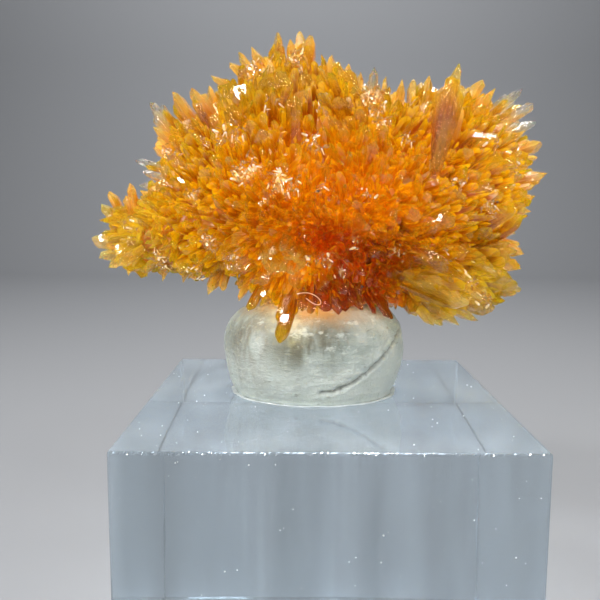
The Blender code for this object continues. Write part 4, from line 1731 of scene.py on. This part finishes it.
@dataclass(frozen=True)
class SoftLight:
    """One area light: place and aim in metres, side in metres and power in watts."""

    name: str
    place: Point
    side: float
    power: float
    colour: Colour = (1.0, 1.0, 1.0)
    aim: Point = (0.0, 0.0, 0.06)
    tall: float | None = None

    def make(self) -> None:
        """Adds the light to the scene."""
        lamp = bpy.data.lights.new(self.name, "AREA")
        lamp.size = self.side
        if self.tall:
            lamp.shape = "RECTANGLE"
            lamp.size_y = self.tall
        lamp.energy = self.power
        lamp.color = self.colour
        thing = bpy.data.objects.new(self.name, lamp)
        thing.location = self.place
        look = Vector(self.aim) - Vector(self.place)
        thing.rotation_euler = look.to_track_quat("-Z", "Y").to_euler()
        bpy.context.scene.collection.objects.link(thing)


@dataclass
class Studio:
    """Pale floor that curves up behind, soft lights and the camera at the photograph's place."""

    lens: float = 42.3
    eye: Point = (-3.23, -100.81, 61.93)
    pitch: float = 7.29
    roll: float = 0.28
    yaw: float = -0.14
    floor_half: float = 0.9
    floor_back: float = 0.55
    bend: float = 0.25
    drop: float = 0.0002
    bend_steps: int = 24
    floor_front: float = -0.6
    backdrop_top: float = 1.2
    floor_colour: Colour = (0.34, 0.35, 0.37)
    world_colour: Colour = (0.8, 0.83, 0.88)
    world_strength: float = 0.06
    lights: tuple[SoftLight, ...] = (
        SoftLight("key", (-0.24, -0.26, 0.34), 0.04, 0.55),
        SoftLight("fill", (0.32, -0.26, 0.22), 0.04, 0.28, (1.0, 0.98, 0.95)),
        SoftLight("overhead", (0.04, 0.10, 0.38), 0.045, 0.80, (1.0, 0.98, 0.95)),
        SoftLight("window", (-0.16, -0.34, 0.42), 0.20, 0.45),
        SoftLight("panel", (0.34, -0.14, 0.30), 0.14, 0.20),
        SoftLight("strip", (-0.27, -0.15, 0.10), 0.02, 0.40, tall=0.16),
        SoftLight("glint_right", (0.15, -0.24, 0.26), 0.02, 0.09),
        SoftLight("glint_top", (0.0, -0.16, 0.36), 0.02, 0.11),
        SoftLight("glint_low", (0.08, -0.30, 0.05), 0.02, 0.06),
        SoftLight("glint_high", (-0.10, -0.06, 0.36), 0.02, 0.11),
        SoftLight("glint_side", (0.26, -0.16, 0.10), 0.02, 0.08),
        SoftLight("glint_edge", (-0.28, -0.10, 0.24), 0.02, 0.09),
        SoftLight("glint_front", (0.02, -0.32, 0.20), 0.02, 0.09),
        SoftLight("backdrop", (0.0, 0.30, 0.62), 0.30, 2.8, (1.0, 1.0, 1.0), (0.0, 0.85, 0.30)),
    )

    def floor(self) -> None:
        """Builds the floor and backdrop as one swept sheet."""
        shape = bmesh.new()
        turns = [math.radians(90.0 * step / self.bend_steps)
                 for step in range(self.bend_steps + 1)]
        side = [(-self.floor_half, self.floor_front, -self.drop)]
        side += [(-self.floor_half, self.floor_back + self.bend * math.sin(turn),
                  self.bend * (1.0 - math.cos(turn)) - self.drop) for turn in turns]
        side.append((-self.floor_half, self.floor_back + self.bend, self.backdrop_top))
        verts = [shape.verts.new(point) for point in side]
        edges = [shape.edges.new(pair) for pair in zip(verts, verts[1:])]
        swept = bmesh.ops.extrude_edge_only(shape, edges=edges)
        moved = [item for item in swept["geom"] if isinstance(item, bmesh.types.BMVert)]
        bmesh.ops.translate(shape, vec=(2 * self.floor_half, 0, 0), verts=moved)
        bmesh.ops.recalc_face_normals(shape, faces=shape.faces)
        thing = object_from("floor", shape, True, Paint("pale_floor", self.floor_colour).finish(
            {"Base Color": (*self.floor_colour, 1.0), "Roughness": 0.8}))

    def camera(self) -> None:
        """Places the camera where the photograph was taken."""
        lens = bpy.data.cameras.new("camera")
        lens.lens = self.lens
        lens.sensor_width = 36.0
        lens.clip_start = 0.001
        thing = bpy.data.objects.new("camera", lens)
        bpy.context.scene.collection.objects.link(thing)
        pitch, roll, yaw = (math.radians(value) for value in (self.pitch, self.roll, self.yaw))
        ahead = Vector((math.sin(yaw) * math.cos(pitch), math.cos(yaw) * math.cos(pitch),
                        -math.sin(pitch)))
        right = Vector((math.cos(yaw), -math.sin(yaw), 0.0))
        up = right.cross(ahead)
        tilted = math.cos(roll) * right + math.sin(roll) * up
        raised = math.cos(roll) * up - math.sin(roll) * right
        matrix = thing.matrix_world.copy()
        for row in range(3):
            matrix[row][:] = (tilted[row], raised[row], -ahead[row], self.eye[row] * MM)
        thing.matrix_world = matrix
        bpy.context.scene.camera = thing

    def make(self) -> None:
        """Builds the studio."""
        scene = bpy.context.scene
        scene.view_settings.view_transform = "Standard"
        scene.cycles.max_bounces = 24
        scene.cycles.transmission_bounces = 24
        world = bpy.data.worlds.new("studio")
        world.use_nodes = True
        sky = world.node_tree.nodes["Background"].inputs
        sky["Color"].default_value = (*self.world_colour, 1.0)
        sky["Strength"].default_value = self.world_strength
        scene.world = world
        self.floor()
        for light in self.lights:
            light.make()
        self.camera()


def main() -> None:
    """Builds the pieces in order and reports each one."""
    logging.basicConfig(level=logging.INFO, format="%(message)s")
    Studio().make()
    cluster = Cluster()
    pieces = [DisplayBlock().make(), Putty().make(), Putty().film(), *cluster.make()]
    pieces += Dust(cluster.plan, cluster.tips, cluster.in_front(cluster.tips)).make()
    for piece in pieces:
        piece.data.calc_loop_triangles()
        log.info("%s: %d triangles", piece.name, len(piece.data.loop_triangles))


if __name__ == "__main__":
    main()
